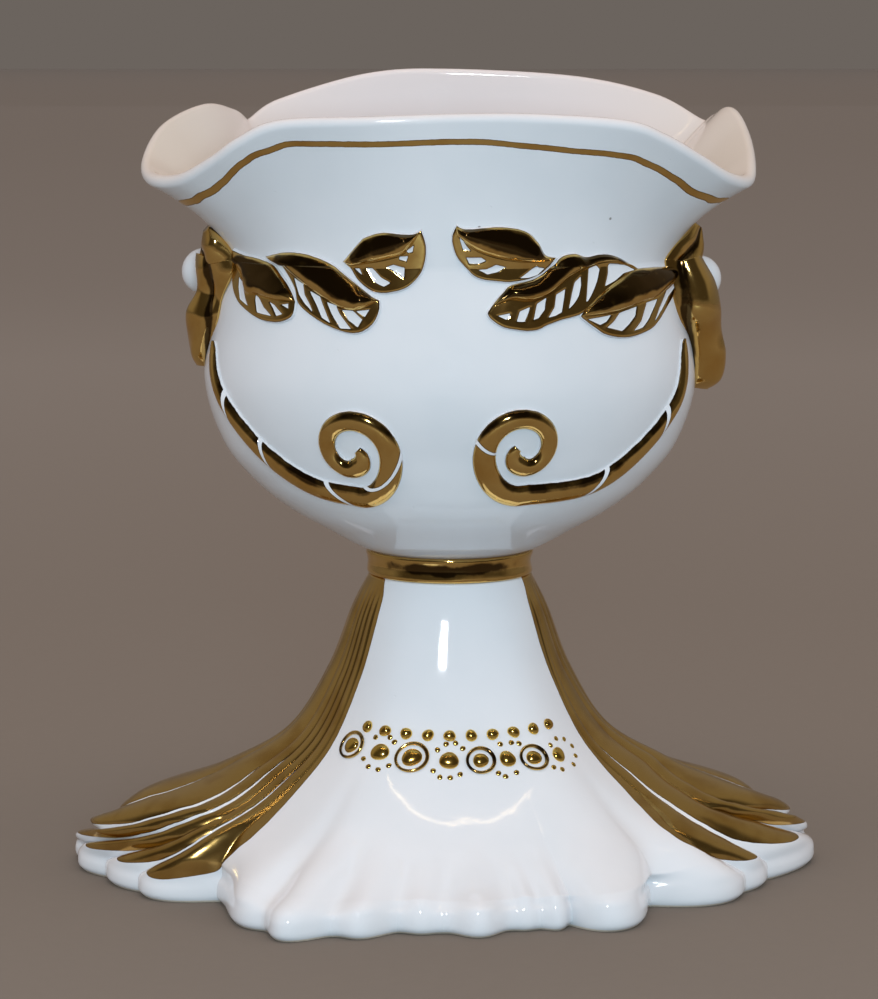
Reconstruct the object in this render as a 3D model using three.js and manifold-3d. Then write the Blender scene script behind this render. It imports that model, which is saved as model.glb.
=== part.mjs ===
// Head vase: a glazed pottery planter whose bowl is a plain head under a cocked-hat brim, on a
// fluted pedestal shaped like a cape. Millimetres, +Z up, front of the vase towards -Y. The pieces
// are built round the axis of the neck, and the finished vase is moved so that the origin lies on
// the table under the middle of its hem.
import * as THREE from 'three';
import Module from 'manifold-3d';

const wasm = await Module();
wasm.setup();

// Clearances: a joint between two thrown pieces, and the slip line under an applied sprig
const JOINT = 0.3;
const SPRIG_SEAT = 0.45;

// Pedestal
const PEDESTAL_HEIGHT = 109.5;
const PEDESTAL_WALL = 6.5;
const NECK_RADIUS = 30;
const HEM_HALF_WIDTH = 134.3;
const HEM_SKEW = 2.8;
const HEM_HALF_DEPTH = 105;
const HEM_CORNER = 66;
const HEM_TOP = 9;
const FOOT_WIDTH = 12;
const FLUTE_DEPTH = 2.8;
const FOLD_DEPTH = 1.5;

// Neck joint
const SPIGOT_RADIUS = 24.7;
const SPIGOT_DEPTH = 8;
const COLLAR_HEIGHT = 9.5;
const COLLAR_PROUD = 1;

// Head
const HEAD_TURN = -4;
const HEAD_WALL = 5;
const BOWL_RADIUS = 90.2;
const BOWL_DEPTH_SHARE = 0.82;
const WAIST_RADIUS = 82;
const WAIST_HEIGHT = 107;
const FLOOR_THICKNESS = 8;
const BRIM_SPAN = 56;

// Applied ornament
const PEARL_RADIUS = 8.6;
const SCROLL_HEIGHT = 3.2;
const SCROLL_WIDTH = 8.6;
const LEAF_EDGE = 1.0;
const LEAF_CROWN = 1.8;
const TRIM_HEIGHT = 6;
const BEAD_HEIGHT = 1.5;
const RING_TUBE = 0.75;

// Facets
const HEAD_SEGMENTS = 64;
const LOBE_SEGMENTS = 4;
const HOLLOW_SEGMENTS = 48;

const GLAZE = { color: 0xd4d5df, roughness: 0.12, metalness: 0 };
const LUSTRE = { color: 0xa97c32, roughness: 0.18, metalness: 1 };

const radians = THREE.MathUtils.degToRad;
const smooth = THREE.MathUtils.smoothstep;

// Turns rows of points into a closed geometry. Each row is one ring of points; a row of one point is
// a pole. Points that coincide are welded and triangles that vanish are left out.
function skinRows(rows, wrap = true) {
  const positions = [];
  const index = [];
  const seen = new Map();
  const vertex = (p) => {
    const key = `${Math.round(p.x * 500)},${Math.round(p.y * 500)},${Math.round(p.z * 500)}`;
    if (!seen.has(key)) {
      seen.set(key, positions.length / 3);
      positions.push(p.x, p.y, p.z);
    }
    return seen.get(key);
  };
  const triangle = (a, b, c) => {
    if (a !== b && b !== c && c !== a) index.push(a, b, c);
  };
  const ids = rows.map((row) => row.map(vertex));
  const count = Math.max(...rows.map((row) => row.length));
  const last = wrap ? count : count - 1;
  for (let j = 0; j + 1 < ids.length; j++) {
    const at = (row, i) => (row.length === 1 ? row[0] : row[i % row.length]);
    for (let i = 0; i < last; i++) {
      const a = at(ids[j], i);
      const b = at(ids[j], i + 1);
      const c = at(ids[j + 1], i + 1);
      const d = at(ids[j + 1], i);
      triangle(a, b, c);
      triangle(a, c, d);
    }
  }
  const geometry = new THREE.BufferGeometry();
  geometry.setAttribute('position', new THREE.Float32BufferAttribute(positions, 3));
  geometry.setIndex(index);
  return geometry;
}

// Makes a boolean solid from a welded geometry
function toSolid(geometry) {
  const mesh = new wasm.Mesh({
    numProp: 3,
    vertProperties: Float32Array.from(geometry.attributes.position.array),
    triVerts: Uint32Array.from(geometry.index.array),
  });
  return new wasm.Manifold(mesh);
}

// Brings a boolean solid back as a geometry
function toGeometry(solid) {
  const mesh = solid.getMesh();
  const geometry = new THREE.BufferGeometry();
  geometry.setAttribute('position', new THREE.BufferAttribute(mesh.vertProperties, 3));
  geometry.setIndex(new THREE.BufferAttribute(mesh.triVerts, 1));
  return geometry;
}

function ringAngles(count) {
  return Array.from({ length: count }, (_, i) => (i * 2 * Math.PI) / count);
}

// The hem is a rounded six-sided plan: straight at the front and back, slanting to a tip each side,
// of which the left one was pulled out further. Each side of the plan adds its own share, and the
// sharpness says how tight the corners are.
function hemRadius(angle) {
  const sharpness = 14;
  const tip = (HEM_HALF_WIDTH - HEM_SKEW * Math.sin(angle)) * 2 ** (1 / sharpness);
  const slant = Math.hypot(HEM_HALF_DEPTH, tip - HEM_CORNER);
  const across = Math.abs(Math.sin(angle)) * HEM_HALF_DEPTH;
  const along = Math.abs(Math.cos(angle)) * (tip - HEM_CORNER);
  const slantDistance = (tip * HEM_HALF_DEPTH) / slant;
  const shares = [
    Math.abs(Math.cos(angle)) / HEM_HALF_DEPTH,
    (across + along) / slant / slantDistance,
    Math.max(across - along, 0) / slant / slantDistance,
  ];
  const total = shares.reduce((sum, share) => sum + share ** sharpness, 0);
  return total ** (-1 / sharpness);
}

// The slope of the cape: share of the way out from neck to hem, and share of the height left
const FRONT_SLOPE = new THREE.SplineCurve([
  [0, 1], [0.052, 0.866], [0.169, 0.647], [0.351, 0.408], [0.61, 0.189], [0.844, 0.06], [1, 0],
].map((p) => new THREE.Vector2(...p)));
const SIDE_SLOPE = new THREE.SplineCurve([
  [0, 1], [0.058, 0.876], [0.144, 0.647], [0.288, 0.418], [0.519, 0.279], [0.788, 0.174], [1, 0],
].map((p) => new THREE.Vector2(...p)));

// Radius and height of the plain cape, without its lobes, at an angle from the front
function capeSlope(angle, t) {
  const sideways = Math.sin(angle) ** 2;
  const share = FRONT_SLOPE.getPoint(t).lerp(SIDE_SLOPE.getPoint(t), sideways);
  const radius = NECK_RADIUS + share.x * (hemRadius(angle) - NECK_RADIUS);
  const height = HEM_TOP + share.y * (PEDESTAL_HEIGHT - HEM_TOP);
  return new THREE.Vector2(radius, height);
}

function capeNormal(angle, t) {
  const step = 0.01;
  const before = capeSlope(angle, Math.max(t - step, 0));
  const after = capeSlope(angle, Math.min(t + step, 1));
  const along = after.sub(before).normalize();
  return new THREE.Vector2(-along.y, along.x);
}

function polar(angle, radius, height) {
  return new THREE.Vector3(radius * Math.sin(angle), -radius * Math.cos(angle), height);
}

function capePoint(angle, t, lift) {
  const at = capeSlope(angle, t).addScaledVector(capeNormal(angle, t), lift);
  return polar(angle, at.x, at.y);
}

// The lobes of the hem as the hand left them, from the back round by the left side: the angle of
// the valley where a lobe starts, how far that valley is pushed in from the plan, how far the lobe
// swells past the line between its valleys, and how its fullest place leans, 1 being the middle.
const LOBES = [
  [-174, 0, 3, 1], [-163, 0.5, 3, 1], [-152, 2, 3, 1], [-139, 1.5, 3, 1], [-124, 2, 3, 1],
  [-113, -0.5, 3.5, 1], [-103, -2, 8, 1], [-92.5, 1, 3, 1], [-81.6, 2.5, 4, 1], [-70.4, -1, 9, 1],
  [-57, 12, 4.5, 2], [-36, -3, 9, 1], [-24.5, -3, 5.5, 1], [-14, 2, 2, 1], [-5.5, 0, 7.5, 1],
  [8, 2, 1, 1], [13, 3, 4, 1], [19.8, 7.5, 13, 0.55], [41.4, 18, 10, 1],
  [60.9, -2.5, 2.5, 1], [70.7, -1.5, 5, 1], [92, -2, 6, 1], [102, -3, 3.5, 1], [113, -3, 3, 1],
  [124, 0.5, 3, 1], [139, 1, 3, 1], [152, 2, 3, 1], [163, 0.5, 3, 1], [174, 0, 3, 1],
];
// The panel ends at this angle from the front, and gilded flutes fill the wing from there on
const PANEL_EDGE = 56;

// One entry for each facet edge round the cape: its angle at the hem, how far in the line of the
// valleys lies there, how far up its lobe it stands, and the swell of that lobe
function lobeStations() {
  return LOBES.flatMap(([start, inset, swell, lean], i) => {
    const [nextStart, nextInset] = LOBES[(i + 1) % LOBES.length];
    const width = (nextStart - start + 360) % 360;
    const middle = Math.abs(start + width / 2);
    const fluted = middle > PANEL_EDGE && middle < 180 - PANEL_EDGE;
    return Array.from({ length: LOBE_SEGMENTS }, (_, k) => {
      const share = (1 - Math.cos((Math.PI * k) / LOBE_SEGMENTS)) / 2;
      return {
        angle: radians(start + share * width),
        inset: THREE.MathUtils.lerp(inset, nextInset, share),
        rise: Math.sin(Math.PI * share ** lean) ** 0.7,
        swell,
        fluted,
      };
    });
  });
}

// Plan radius of the lobed hem at a station
function hemEdge({ angle, inset, swell, rise }) {
  return hemRadius(angle) - inset + swell * rise;
}

// The folds and notches of the hem fade out half way up the slope
function hemShare(t) {
  return Math.max(2 * t - 1, 0) ** 2;
}

// The flutes of a wing crowd towards the panel up the slope and spread evenly at the hem
function fannedAngle(angle, t) {
  const edge = radians(PANEL_EDGE);
  const wing = Math.PI - 2 * edge;
  const past = Math.abs(angle) - edge;
  if (past <= 0 || past >= wing) return angle;
  const crowd = THREE.MathUtils.lerp(0.42, 1, hemShare(t));
  const spread = THREE.MathUtils.lerp(crowd, 1, (past / wing) ** 4);
  return Math.sign(angle) * (edge + past * spread);
}

// Point of the lobed cape at a station, with a lift square to the slope
function lobedPoint(station, t, lift) {
  const angle = fannedAngle(station.angle, t);
  const height = lift + station.rise * (station.fluted
    ? FLUTE_DEPTH * smooth(t, 0.02, 0.3)
    : FOLD_DEPTH * smooth(t, 0.6, 1));
  const at = capeSlope(angle, t).addScaledVector(capeNormal(angle, t), height);
  const out = hemEdge(station) - hemRadius(station.angle);
  return polar(angle, at.x + out * hemShare(t), at.y);
}

// The hollow keeps the wall even, with half as many facets as the outside
function pedestalHollow() {
  const stations = lobeStations().filter((station, i) => i % 2 === 0);
  const beyond = 5;
  const bore = SPIGOT_RADIUS + JOINT;
  const ring = (radius, height) => stations.map((s) => polar(s.angle, radius, height));
  const foot = (height) => stations.map((s) => (
    polar(s.angle, hemEdge(s) - FOOT_WIDTH, height)
  ));
  const slope = [0.2, 0.36, 0.52, 0.7, 0.88].map((t) => (
    stations.map((s) => lobedPoint(s, t, -PEDESTAL_WALL))
  ));
  return skinRows([
    [new THREE.Vector3(0, 0, -beyond)],
    foot(-beyond),
    foot(0.8),
    ...slope.reverse(),
    ring(bore, PEDESTAL_HEIGHT - SPIGOT_DEPTH - JOINT),
    ring(bore, PEDESTAL_HEIGHT + beyond),
    [new THREE.Vector3(0, 0, PEDESTAL_HEIGHT + beyond)],
  ]);
}

// Steps down the cape, closest where the necklace lies
const CAPE_STEPS = [0, 0.08, 0.17, 0.27, 0.36, 0.43, 0.48, 0.55, 0.64, 0.74, 0.83, 0.92, 1];

function buildPedestal() {
  const stations = lobeStations();
  const slope = CAPE_STEPS.map((t) => stations.map((s) => lobedPoint(s, t, 0)));
  const edge = [[1.2, 6], [1.0, 3], [-1.5, 0]].map(([proud, height]) => stations.map((s) => (
    polar(s.angle, hemEdge(s) + proud, height)
  )));
  const outside = skinRows([
    [new THREE.Vector3(0, 0, 0)],
    ...edge.reverse(),
    ...slope.reverse(),
    [new THREE.Vector3(0, 0, PEDESTAL_HEIGHT)],
  ]);
  return toGeometry(toSolid(outside).subtract(toSolid(pedestalHollow())));
}

// Bowl profile from the neck up to the waist under the brim: radius and height above the collar
const BOWL_PROFILE = new THREE.SplineCurve([
  [0, 0], [0.1, 0.026], [0.255, 0.075], [0.49, 0.15], [0.71, 0.25], [0.895, 0.385], [1, 0.59],
].map(([out, up]) => new THREE.Vector2(
  NECK_RADIUS + COLLAR_PROUD + out * (BOWL_RADIUS - NECK_RADIUS - COLLAR_PROUD),
  up * WAIST_HEIGHT,
)).concat([
  new THREE.Vector2(WAIST_RADIUS + 0.73 * (BOWL_RADIUS - WAIST_RADIUS), 0.81 * WAIST_HEIGHT),
  new THREE.Vector2(WAIST_RADIUS, WAIST_HEIGHT),
]));
const BOWL_TABLE = BOWL_PROFILE.getPoints(160);

function bowlRadius(height) {
  const next = BOWL_TABLE.findIndex((p) => p.y >= height);
  if (next <= 0) return next === 0 ? BOWL_TABLE[0].x : WAIST_RADIUS;
  const low = BOWL_TABLE[next - 1];
  const high = BOWL_TABLE[next];
  return THREE.MathUtils.mapLinear(height, low.y, high.y, low.x, high.x);
}

// The head is round at the neck and shallower than wide above it
function depthShare(height) {
  return THREE.MathUtils.lerp(1, BOWL_DEPTH_SHARE, smooth(height, 0, 0.4 * WAIST_HEIGHT));
}

function bowlPoint(angle, height) {
  const radius = bowlRadius(height);
  const depth = radius * depthShare(height);
  return new THREE.Vector3(radius * Math.sin(angle), -depth * Math.cos(angle), height);
}

// The brim as it was pinched by hand, seen from above: across, towards the back, rise above the
// waist. It runs from the front over the left lip, round the back and over the right lip.
const RIM_CURVE = new THREE.CatmullRomCurve3([
  [3, -74, 50.3], [-30, -74, 49], [-59, -68, 47.5], [-73, -62, 41.5], [-83, -54, 34.5],
  [-95.5, -42, 27.5], [-107, -26, 27], [-110.5, -8, 33], [-105.5, 10, 44.5], [-93, 28, 51.5],
  [-84, 42, 49.5], [-77.5, 50, 45.5], [-65, 57, 53.5], [-32, 67, 63.5], [0, 70, 65.3], [47, 66, 62.3],
  [78, 58, 55], [96, 49, 45], [102, 42, 47], [106, 30, 49.7], [109, 14, 43], [109.5, -6, 34],
  [107, -24, 26.5], [98.5, -38, 28], [87, -50, 35], [74, -60, 42.5], [60, -67, 47.5], [30, -73, 50],
].map(([x, y, rise]) => new THREE.Vector3(x, y, WAIST_HEIGHT + rise)), true, 'catmullrom', 0.5);
const RIM_TABLE = RIM_CURVE.getPoints(560).slice(0, -1).map((point) => {
  const angle = Math.atan2(point.x / WAIST_RADIUS, -point.y / (WAIST_RADIUS * BOWL_DEPTH_SHARE));
  return { angle: (angle + 2 * Math.PI) % (2 * Math.PI), point };
}).sort((a, b) => a.angle - b.angle);

function rimPoint(angle) {
  const turn = 2 * Math.PI;
  const wanted = ((angle % turn) + turn) % turn;
  const found = RIM_TABLE.findIndex((entry) => entry.angle >= wanted);
  const next = found < 0 ? 0 : found;
  const before = RIM_TABLE[(next + RIM_TABLE.length - 1) % RIM_TABLE.length];
  const after = RIM_TABLE[next];
  const gap = (after.angle - before.angle + turn) % turn;
  const share = ((wanted - before.angle + turn) % turn) / gap;
  return before.point.clone().lerp(after.point, share);
}

// Outside of the head at an angle from its front. Up to the waist the second value is the height;
// past it the surface bends out to the rim, which it reaches BRIM_SPAN further on.
function headPoint(angle, climb) {
  const low = bowlPoint(angle, Math.min(climb, WAIST_HEIGHT));
  if (climb <= WAIST_HEIGHT) return low;
  const share = (climb - WAIST_HEIGHT) / BRIM_SPAN;
  const rim = rimPoint(angle);
  const bend = new THREE.Vector3(
    THREE.MathUtils.lerp(low.x, rim.x, 0.12),
    THREE.MathUtils.lerp(low.y, rim.y, 0.12),
    THREE.MathUtils.lerp(low.z, rim.z, 0.5),
  );
  return new THREE.QuadraticBezierCurve3(low, bend, rim).getPoint(share);
}

const TOP = WAIST_HEIGHT + BRIM_SPAN;

function headFrame(angle, climb) {
  const point = headPoint(angle, climb);
  const turn = 0.02;
  const rise = 0.8;
  const around = headPoint(angle + turn, climb).sub(headPoint(angle - turn, climb));
  const upper = Math.min(climb + rise, TOP);
  const lower = Math.max(climb - rise, 0);
  const up = headPoint(angle, upper).sub(headPoint(angle, lower));
  const normal = around.clone().cross(up).normalize();
  return {
    point,
    normal,
    up: up.clone().normalize(),
    turnLength: around.length() / (2 * turn),
    climbLength: up.length() / (upper - lower),
  };
}

function lifted(angle, climb, lift) {
  const { point, normal } = headFrame(angle, climb);
  return point.addScaledVector(normal, lift);
}

// Facet edges up the bowl and the brim
const BOWL_CLIMBS = [0, 0.023, 0.056, 0.103, 0.159, 0.234, 0.327, 0.449, 0.589, 0.748, 0.888]
  .map((share) => share * WAIST_HEIGHT);
const BRIM_CLIMBS = [0, 0.14, 0.3, 0.48, 0.66, 0.84, 1]
  .map((share) => WAIST_HEIGHT + share * BRIM_SPAN);

function buildHeadBowl() {
  const angles = ringAngles(HEAD_SEGMENTS);
  const ring = (radius, height) => angles.map((a) => polar(a, radius, height));
  const spigotEnd = -COLLAR_HEIGHT - SPIGOT_DEPTH;
  const outer = [...BOWL_CLIMBS, ...BRIM_CLIMBS].map((c) => angles.map((a) => headPoint(a, c)));
  const lip = [30, 90, 150].map((degrees) => angles.map((a) => {
    const { point, normal, up } = headFrame(a, TOP);
    const half = HEAD_WALL / 2;
    return point
      .addScaledVector(normal, half * (Math.cos(radians(degrees)) - 1))
      .addScaledVector(up, half * Math.sin(radians(degrees)));
  }));
  const everyOther = (climb, i) => i % 2 === 0;
  const innerClimbs = [...BOWL_CLIMBS.slice(3), ...BRIM_CLIMBS.slice(1)].reverse().filter(everyOther);
  const inner = innerClimbs.map((c) => angles.map((a) => lifted(a, c, -HEAD_WALL)));
  return skinRows([
    [new THREE.Vector3(0, 0, spigotEnd)],
    ring(SPIGOT_RADIUS, spigotEnd),
    ring(SPIGOT_RADIUS, 0),
    ...outer,
    ...lip,
    ...inner,
    ring(NECK_RADIUS, FLOOR_THICKNESS + 0.6),
    [new THREE.Vector3(0, 0, FLOOR_THICKNESS)],
  ]);
}

// The filled outside of the head, grown by a clearance, which trims what sits against it
function headCore(clearance) {
  const angles = ringAngles(HEAD_SEGMENTS);
  const rows = [...BOWL_CLIMBS, ...BRIM_CLIMBS].map((c) => (
    angles.map((a) => lifted(a, c, clearance))
  ));
  return toSolid(skinRows([
    [new THREE.Vector3(0, 0, 0)],
    ...rows,
    [new THREE.Vector3(0, 0, WAIST_HEIGHT)],
  ]));
}

function buildCollar() {
  const inner = SPIGOT_RADIUS + JOINT;
  const outer = NECK_RADIUS + COLLAR_PROUD;
  const top = COLLAR_HEIGHT - JOINT;
  const profile = [
    [inner, JOINT], [outer - 1, JOINT], [outer - 0.3, 1.6], [outer - 0.9, COLLAR_HEIGHT / 2],
    [outer, COLLAR_HEIGHT - 1.8], [outer - 0.2, top], [inner, top], [inner, JOINT],
  ].map((p) => new THREE.Vector2(...p));
  return new THREE.LatheGeometry(profile, 36).rotateX(Math.PI / 2);
}

// A leaf lies on the head with its stem at an angle and a rise above the waist. Its midrib leaves
// the stem at a tilt and sags on the way. Each lobe has a width and a fullness, which moves its
// widest place along the midrib, and the bluntness rounds the ends. Lengths are real.
const LEAVES = {
  leaf_left_1: {
    stem: [-26.7, 1.7], tilt: 19, length: 31, sag: 0.2, upper: [7.2, 1.04], lower: [16.2, 1.12], blunt: 0.68,
  },
  leaf_left_2: {
    stem: [-49.8, 4.2], tilt: -25, length: 52, sag: 2, upper: [7.7, 0.94], lower: [10.9, 1.5], blunt: 0.5,
  },
  leaf_left_3: {
    stem: [-65, 9.5], tilt: -36, length: 44, sag: -1, upper: [6.2, 1.6], lower: [14, 0.62], blunt: 0.5,
  },
  leaf_right_1: {
    stem: [24.9, 1.7], tilt: 162, length: 36, sag: 2.5, upper: [6.4, 1.1], lower: [14.7, 1.2], blunt: 0.5,
  },
  leaf_right_2: {
    stem: [47, 1.8], tilt: 199, length: 57, sag: 2, upper: [9.5, 1.02], lower: [11.1, 1.38], blunt: 0.52,
  },
  leaf_right_3: {
    stem: [68.5, -5.5], tilt: 190, length: 50, sag: 0, upper: [10.5, 0.9], lower: [14.5, 0.9], blunt: 0.5,
  },
};

// Points of a leaf, from stem to tip and from the edge of its lower lobe to that of its upper one
function leafRows(leaf, grow, lift) {
  const [stemDegrees, stemRise] = leaf.stem;
  const stemAngle = radians(stemDegrees);
  const tilt = radians(leaf.tilt);
  const facing = Math.cos(tilt) < 0 ? -1 : 1;
  const along = new THREE.Vector2(Math.cos(tilt), Math.sin(tilt));
  const aside = new THREE.Vector2(-along.y, along.x).multiplyScalar(facing);
  const middleClimb = WAIST_HEIGHT + stemRise + 0.5 * leaf.length * along.y;
  const guide = headFrame(stemAngle, middleClimb);
  const middleTurn = (0.5 * leaf.length * along.x) / guide.turnLength;
  const { turnLength } = headFrame(stemAngle + middleTurn, middleClimb);
  const steps = 10;
  const halfSteps = 3;
  const rows = [];
  for (let i = 0; i <= steps; i++) {
    const u = i / steps;
    const row = [];
    for (let j = -halfSteps; j <= halfSteps; j++) {
      const side = j / halfSteps;
      const [reach, fullness] = side < 0 ? leaf.lower : leaf.upper;
      const lobe = Math.max(Math.sin(Math.PI * u ** fullness), 0);
      const width = reach * lobe ** leaf.blunt + grow;
      const sag = leaf.sag * Math.sin(Math.PI * u);
      const at = along.clone().multiplyScalar(leaf.length * u + grow * (2 * u - 1))
        .addScaledVector(aside, side * width + sag);
      const height = lift(side, lobe);
      row.push(lifted(stemAngle + at.x / turnLength, WAIST_HEIGHT + stemRise + at.y, height));
    }
    rows.push(row);
  }
  return { rows, facing };
}

function leafSolid(leaf, grow = 0, tall = 0) {
  const crown = (side, lobe) => SPRIG_SEAT + LEAF_EDGE + tall
    + LEAF_CROWN * Math.sqrt(1 - side ** 2) * lobe ** 0.5
    - 0.7 * LEAF_CROWN * Math.exp(-((side / 0.2) ** 2)) * lobe;
  const top = leafRows(leaf, grow, crown);
  const bottom = leafRows(leaf, grow, () => (tall > 0 ? 0 : SPRIG_SEAT));
  const rings = top.rows.map((row, i) => [...row, ...bottom.rows[i].slice().reverse()]);
  const first = middleOf(rings[0]);
  const last = middleOf(rings[rings.length - 1]);
  const rows = [[first], ...rings, [last]];
  return toSolid(skinRows(top.facing > 0 ? rows.reverse() : rows));
}

function middleOf(points) {
  const sum = new THREE.Vector3();
  points.forEach((p) => sum.add(p));
  return sum.divideScalar(points.length);
}

// Each leaf lies over the one named after it, which is trimmed to clear it
function buildLeaves() {
  const overlaps = { leaf_left_2: ['leaf_left_1'], leaf_left_3: ['leaf_left_2'],
    leaf_right_2: ['leaf_right_1'], leaf_right_3: ['leaf_right_2'] };
  const trimmed = {};
  Object.entries(LEAVES).forEach(([name, leaf]) => {
    let solid = leafSolid(leaf);
    (overlaps[name] ?? []).forEach((over) => {
      solid = solid.subtract(leafSolid(LEAVES[over], 2 * JOINT, TRIM_HEIGHT));
    });
    trimmed[name] = toGeometry(solid);
  });
  return trimmed;
}

// The jaw scrolls: a roll of clay that runs down the jaw and winds into a volute. The run is in
// degrees and height above the collar, and the volute winds from its foot towards the middle.
const SCROLLS = {
  jaw_scroll_left: {
    side: -1, centre: [-24, 43], run: [[-72.5, 78], [-69, 68], [-63, 57], [-51, 40], [-39, 29.5]],
  },
  jaw_scroll_right: {
    side: 1, centre: [17.4, 44], run: [[70, 79], [67, 68.5], [63, 57.5], [52, 41], [40, 30]],
  },
};
const VOLUTE_START = 16.5;
const VOLUTE_END = 2.6;
const VOLUTE_SWEEP = 470;

function scrollPath({ side, centre, run }) {
  const [centreDegrees, centreHeight] = centre;
  const { turnLength } = headFrame(radians(centreDegrees), centreHeight);
  const points = run.map(([degrees, height]) => (
    new THREE.Vector3(radians(degrees - centreDegrees) * turnLength, height - centreHeight, 0)
  ));
  const steps = 18;
  for (let i = 0; i <= steps; i++) {
    const swept = (VOLUTE_SWEEP * i) / steps;
    const radius = THREE.MathUtils.lerp(VOLUTE_START, VOLUTE_END, i / steps);
    const angle = radians(-90 - side * swept);
    points.push(new THREE.Vector3(radius * Math.cos(angle), radius * Math.sin(angle), 0));
  }
  const curve = new THREE.CatmullRomCurve3(points);
  return curve.getSpacedPoints(50).map((p) => ({
    angle: radians(centreDegrees) + p.x / turnLength,
    climb: centreHeight + p.y,
  }));
}

// Width of the roll along its length: thin under the side lock, full at the foot of the volute
function scrollWidth(u) {
  const swell = THREE.MathUtils.lerp(0.62, 1, smooth(u, 0, 0.4));
  const shrink = THREE.MathUtils.lerp(1, 0.68, smooth(u, 0.6, 1));
  return SCROLL_WIDTH * swell * shrink;
}

function buildScroll(scroll) {
  const path = scrollPath(scroll).map(({ angle, climb }) => headFrame(angle, climb));
  const section = [[-1, 0], [-0.8, 0.62], [-0.3, 0.98], [0.3, 0.98], [0.8, 0.62], [1, 0]];
  const rings = path.map(({ point, normal }, i) => {
    const before = path[Math.max(i - 1, 0)].point;
    const after = path[Math.min(i + 1, path.length - 1)].point;
    const along = after.clone().sub(before).normalize();
    const across = normal.clone().cross(along).normalize();
    const u = i / (path.length - 1);
    const half = scrollWidth(u) / 2;
    const height = SCROLL_HEIGHT * Math.min(1, 0.45 + 4 * u, 0.5 + 7 * (1 - u));
    return section.map(([out, up]) => point.clone()
      .addScaledVector(across, out * half)
      .addScaledVector(normal, SPRIG_SEAT + up * height));
  });
  const rows = [[middleOf(rings[0])], ...rings, [middleOf(rings[rings.length - 1])]];
  return skinRows(rows.reverse());
}

// A side lock hangs from under the brim down the side of the bowl. Each station gives the angle from
// the front, the height above the collar, half the width along the head, and how proud it stands.
const LOCKS = {
  side_lock_left: [
    [-77, 131, 5, 3], [-78, 125, 9, 7], [-79, 118, 11, 9], [-80, 110, 12.5, 10.5],
    [-80.5, 102, 13, 10], [-82, 94, 10.5, 6.5], [-82.5, 86, 12, 8.5], [-85, 78, 10, 7],
    [-87, 71.5, 8, 5.5], [-88, 67.5, 3.5, 3],
  ],
  side_lock_right: [
    [83, 131, 4, 4], [82, 124, 7, 7.5], [81, 116, 9.5, 9.5], [80, 106, 12, 10.5], [80, 96, 13.5, 12],
    [80.5, 87, 13, 12], [84, 79, 10.5, 10.5], [86, 70, 10, 11], [87, 61, 8, 9.5], [88, 57, 3.5, 5],
  ],
};

function buildLock(stations, core) {
  const around = 12;
  const rings = stations.map(([degrees, height, half, proud]) => {
    const { point, normal, up } = headFrame(radians(degrees), height);
    const across = up.clone().cross(normal);
    return ringAngles(around).map((a) => point.clone()
      .addScaledVector(across, half * Math.cos(a))
      .addScaledVector(normal, proud * Math.sin(a) * (Math.sin(a) < 0 ? 0.5 : 1)));
  });
  const rows = [[middleOf(rings[0])], ...rings, [middleOf(rings[rings.length - 1])]];
  return toGeometry(toSolid(skinRows(rows)).subtract(core));
}

// The ball behind each side lock, seated on the head
const PEARLS = { pearl_left: [-99, 99], pearl_right: [98, 96.5] };

function buildPearl([degrees, height], core) {
  const { point, normal } = headFrame(radians(degrees), height);
  const centre = point.addScaledVector(normal, 0.92 * PEARL_RADIUS);
  const rows = [[centre.clone().setZ(centre.z - PEARL_RADIUS)]];
  const bands = 8;
  for (let i = 1; i < bands; i++) {
    const tilt = (Math.PI * i) / bands;
    const radius = PEARL_RADIUS * Math.sin(tilt);
    rows.push(ringAngles(14).map((a) => (
      polar(a, radius, -PEARL_RADIUS * Math.cos(tilt)).add(centre)
    )));
  }
  rows.push([centre.clone().setZ(centre.z + PEARL_RADIUS)]);
  return toGeometry(toSolid(skinRows(rows)).subtract(core));
}

// The necklace is pressed on the front panel in two rows. Each bead has its angle from the front,
// how far down the slope it lies, its radius, and a ring round it or none.
const UPPER_ROW = { first: -39, last: 39, count: 10, down: 0.432, sag: 0.011, radius: 2.2 };
const LOWER_ROW = [
  [-43.5, 0.48, 3.1, true], [-30, 0.484, 3.4, false], [-18, 0.492, 3.5, true],
  [-4.5, 0.498, 3.4, false], [7, 0.499, 2.8, true], [16.8, 0.498, 3, false],
  [26.4, 0.5, 2.8, true], [37, 0.503, 2.9, false],
];
const RING_GAP = 1.2;

// Gives a function from lengths across and up the cape, and a lift off it, to a point
function capeSpot(degrees, t) {
  const angle = radians(degrees);
  const step = 0.01;
  const radius = capeSlope(angle, t).x;
  const slopeLength = capeSlope(angle, t + step).distanceTo(capeSlope(angle, t - step)) / (2 * step);
  return (across, up, lift) => capePoint(angle + across / radius, t - up / slopeLength, lift);
}

function beadGeometry(degrees, t, radius) {
  const at = capeSpot(degrees, t);
  const rings = [[1, 0], [0.9, 0.45], [0.55, 0.85]].map(([out, up]) => ringAngles(10).map((a) => (
    at(out * radius * Math.cos(a), out * radius * Math.sin(a), SPRIG_SEAT + up * BEAD_HEIGHT)
  )));
  return skinRows([[at(0, 0, SPRIG_SEAT)], ...rings, [at(0, 0, SPRIG_SEAT + BEAD_HEIGHT)]]);
}

function ringGeometry(degrees, t, radius) {
  const at = capeSpot(degrees, t);
  const rows = ringAngles(16).map((a) => ringAngles(5).map((b) => {
    const out = radius + RING_TUBE * Math.cos(b);
    return at(out * Math.cos(a), out * Math.sin(a), SPRIG_SEAT + RING_TUBE * (1 + Math.sin(b)));
  }));
  return skinRows([...rows, rows[0]].reverse());
}

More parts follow.
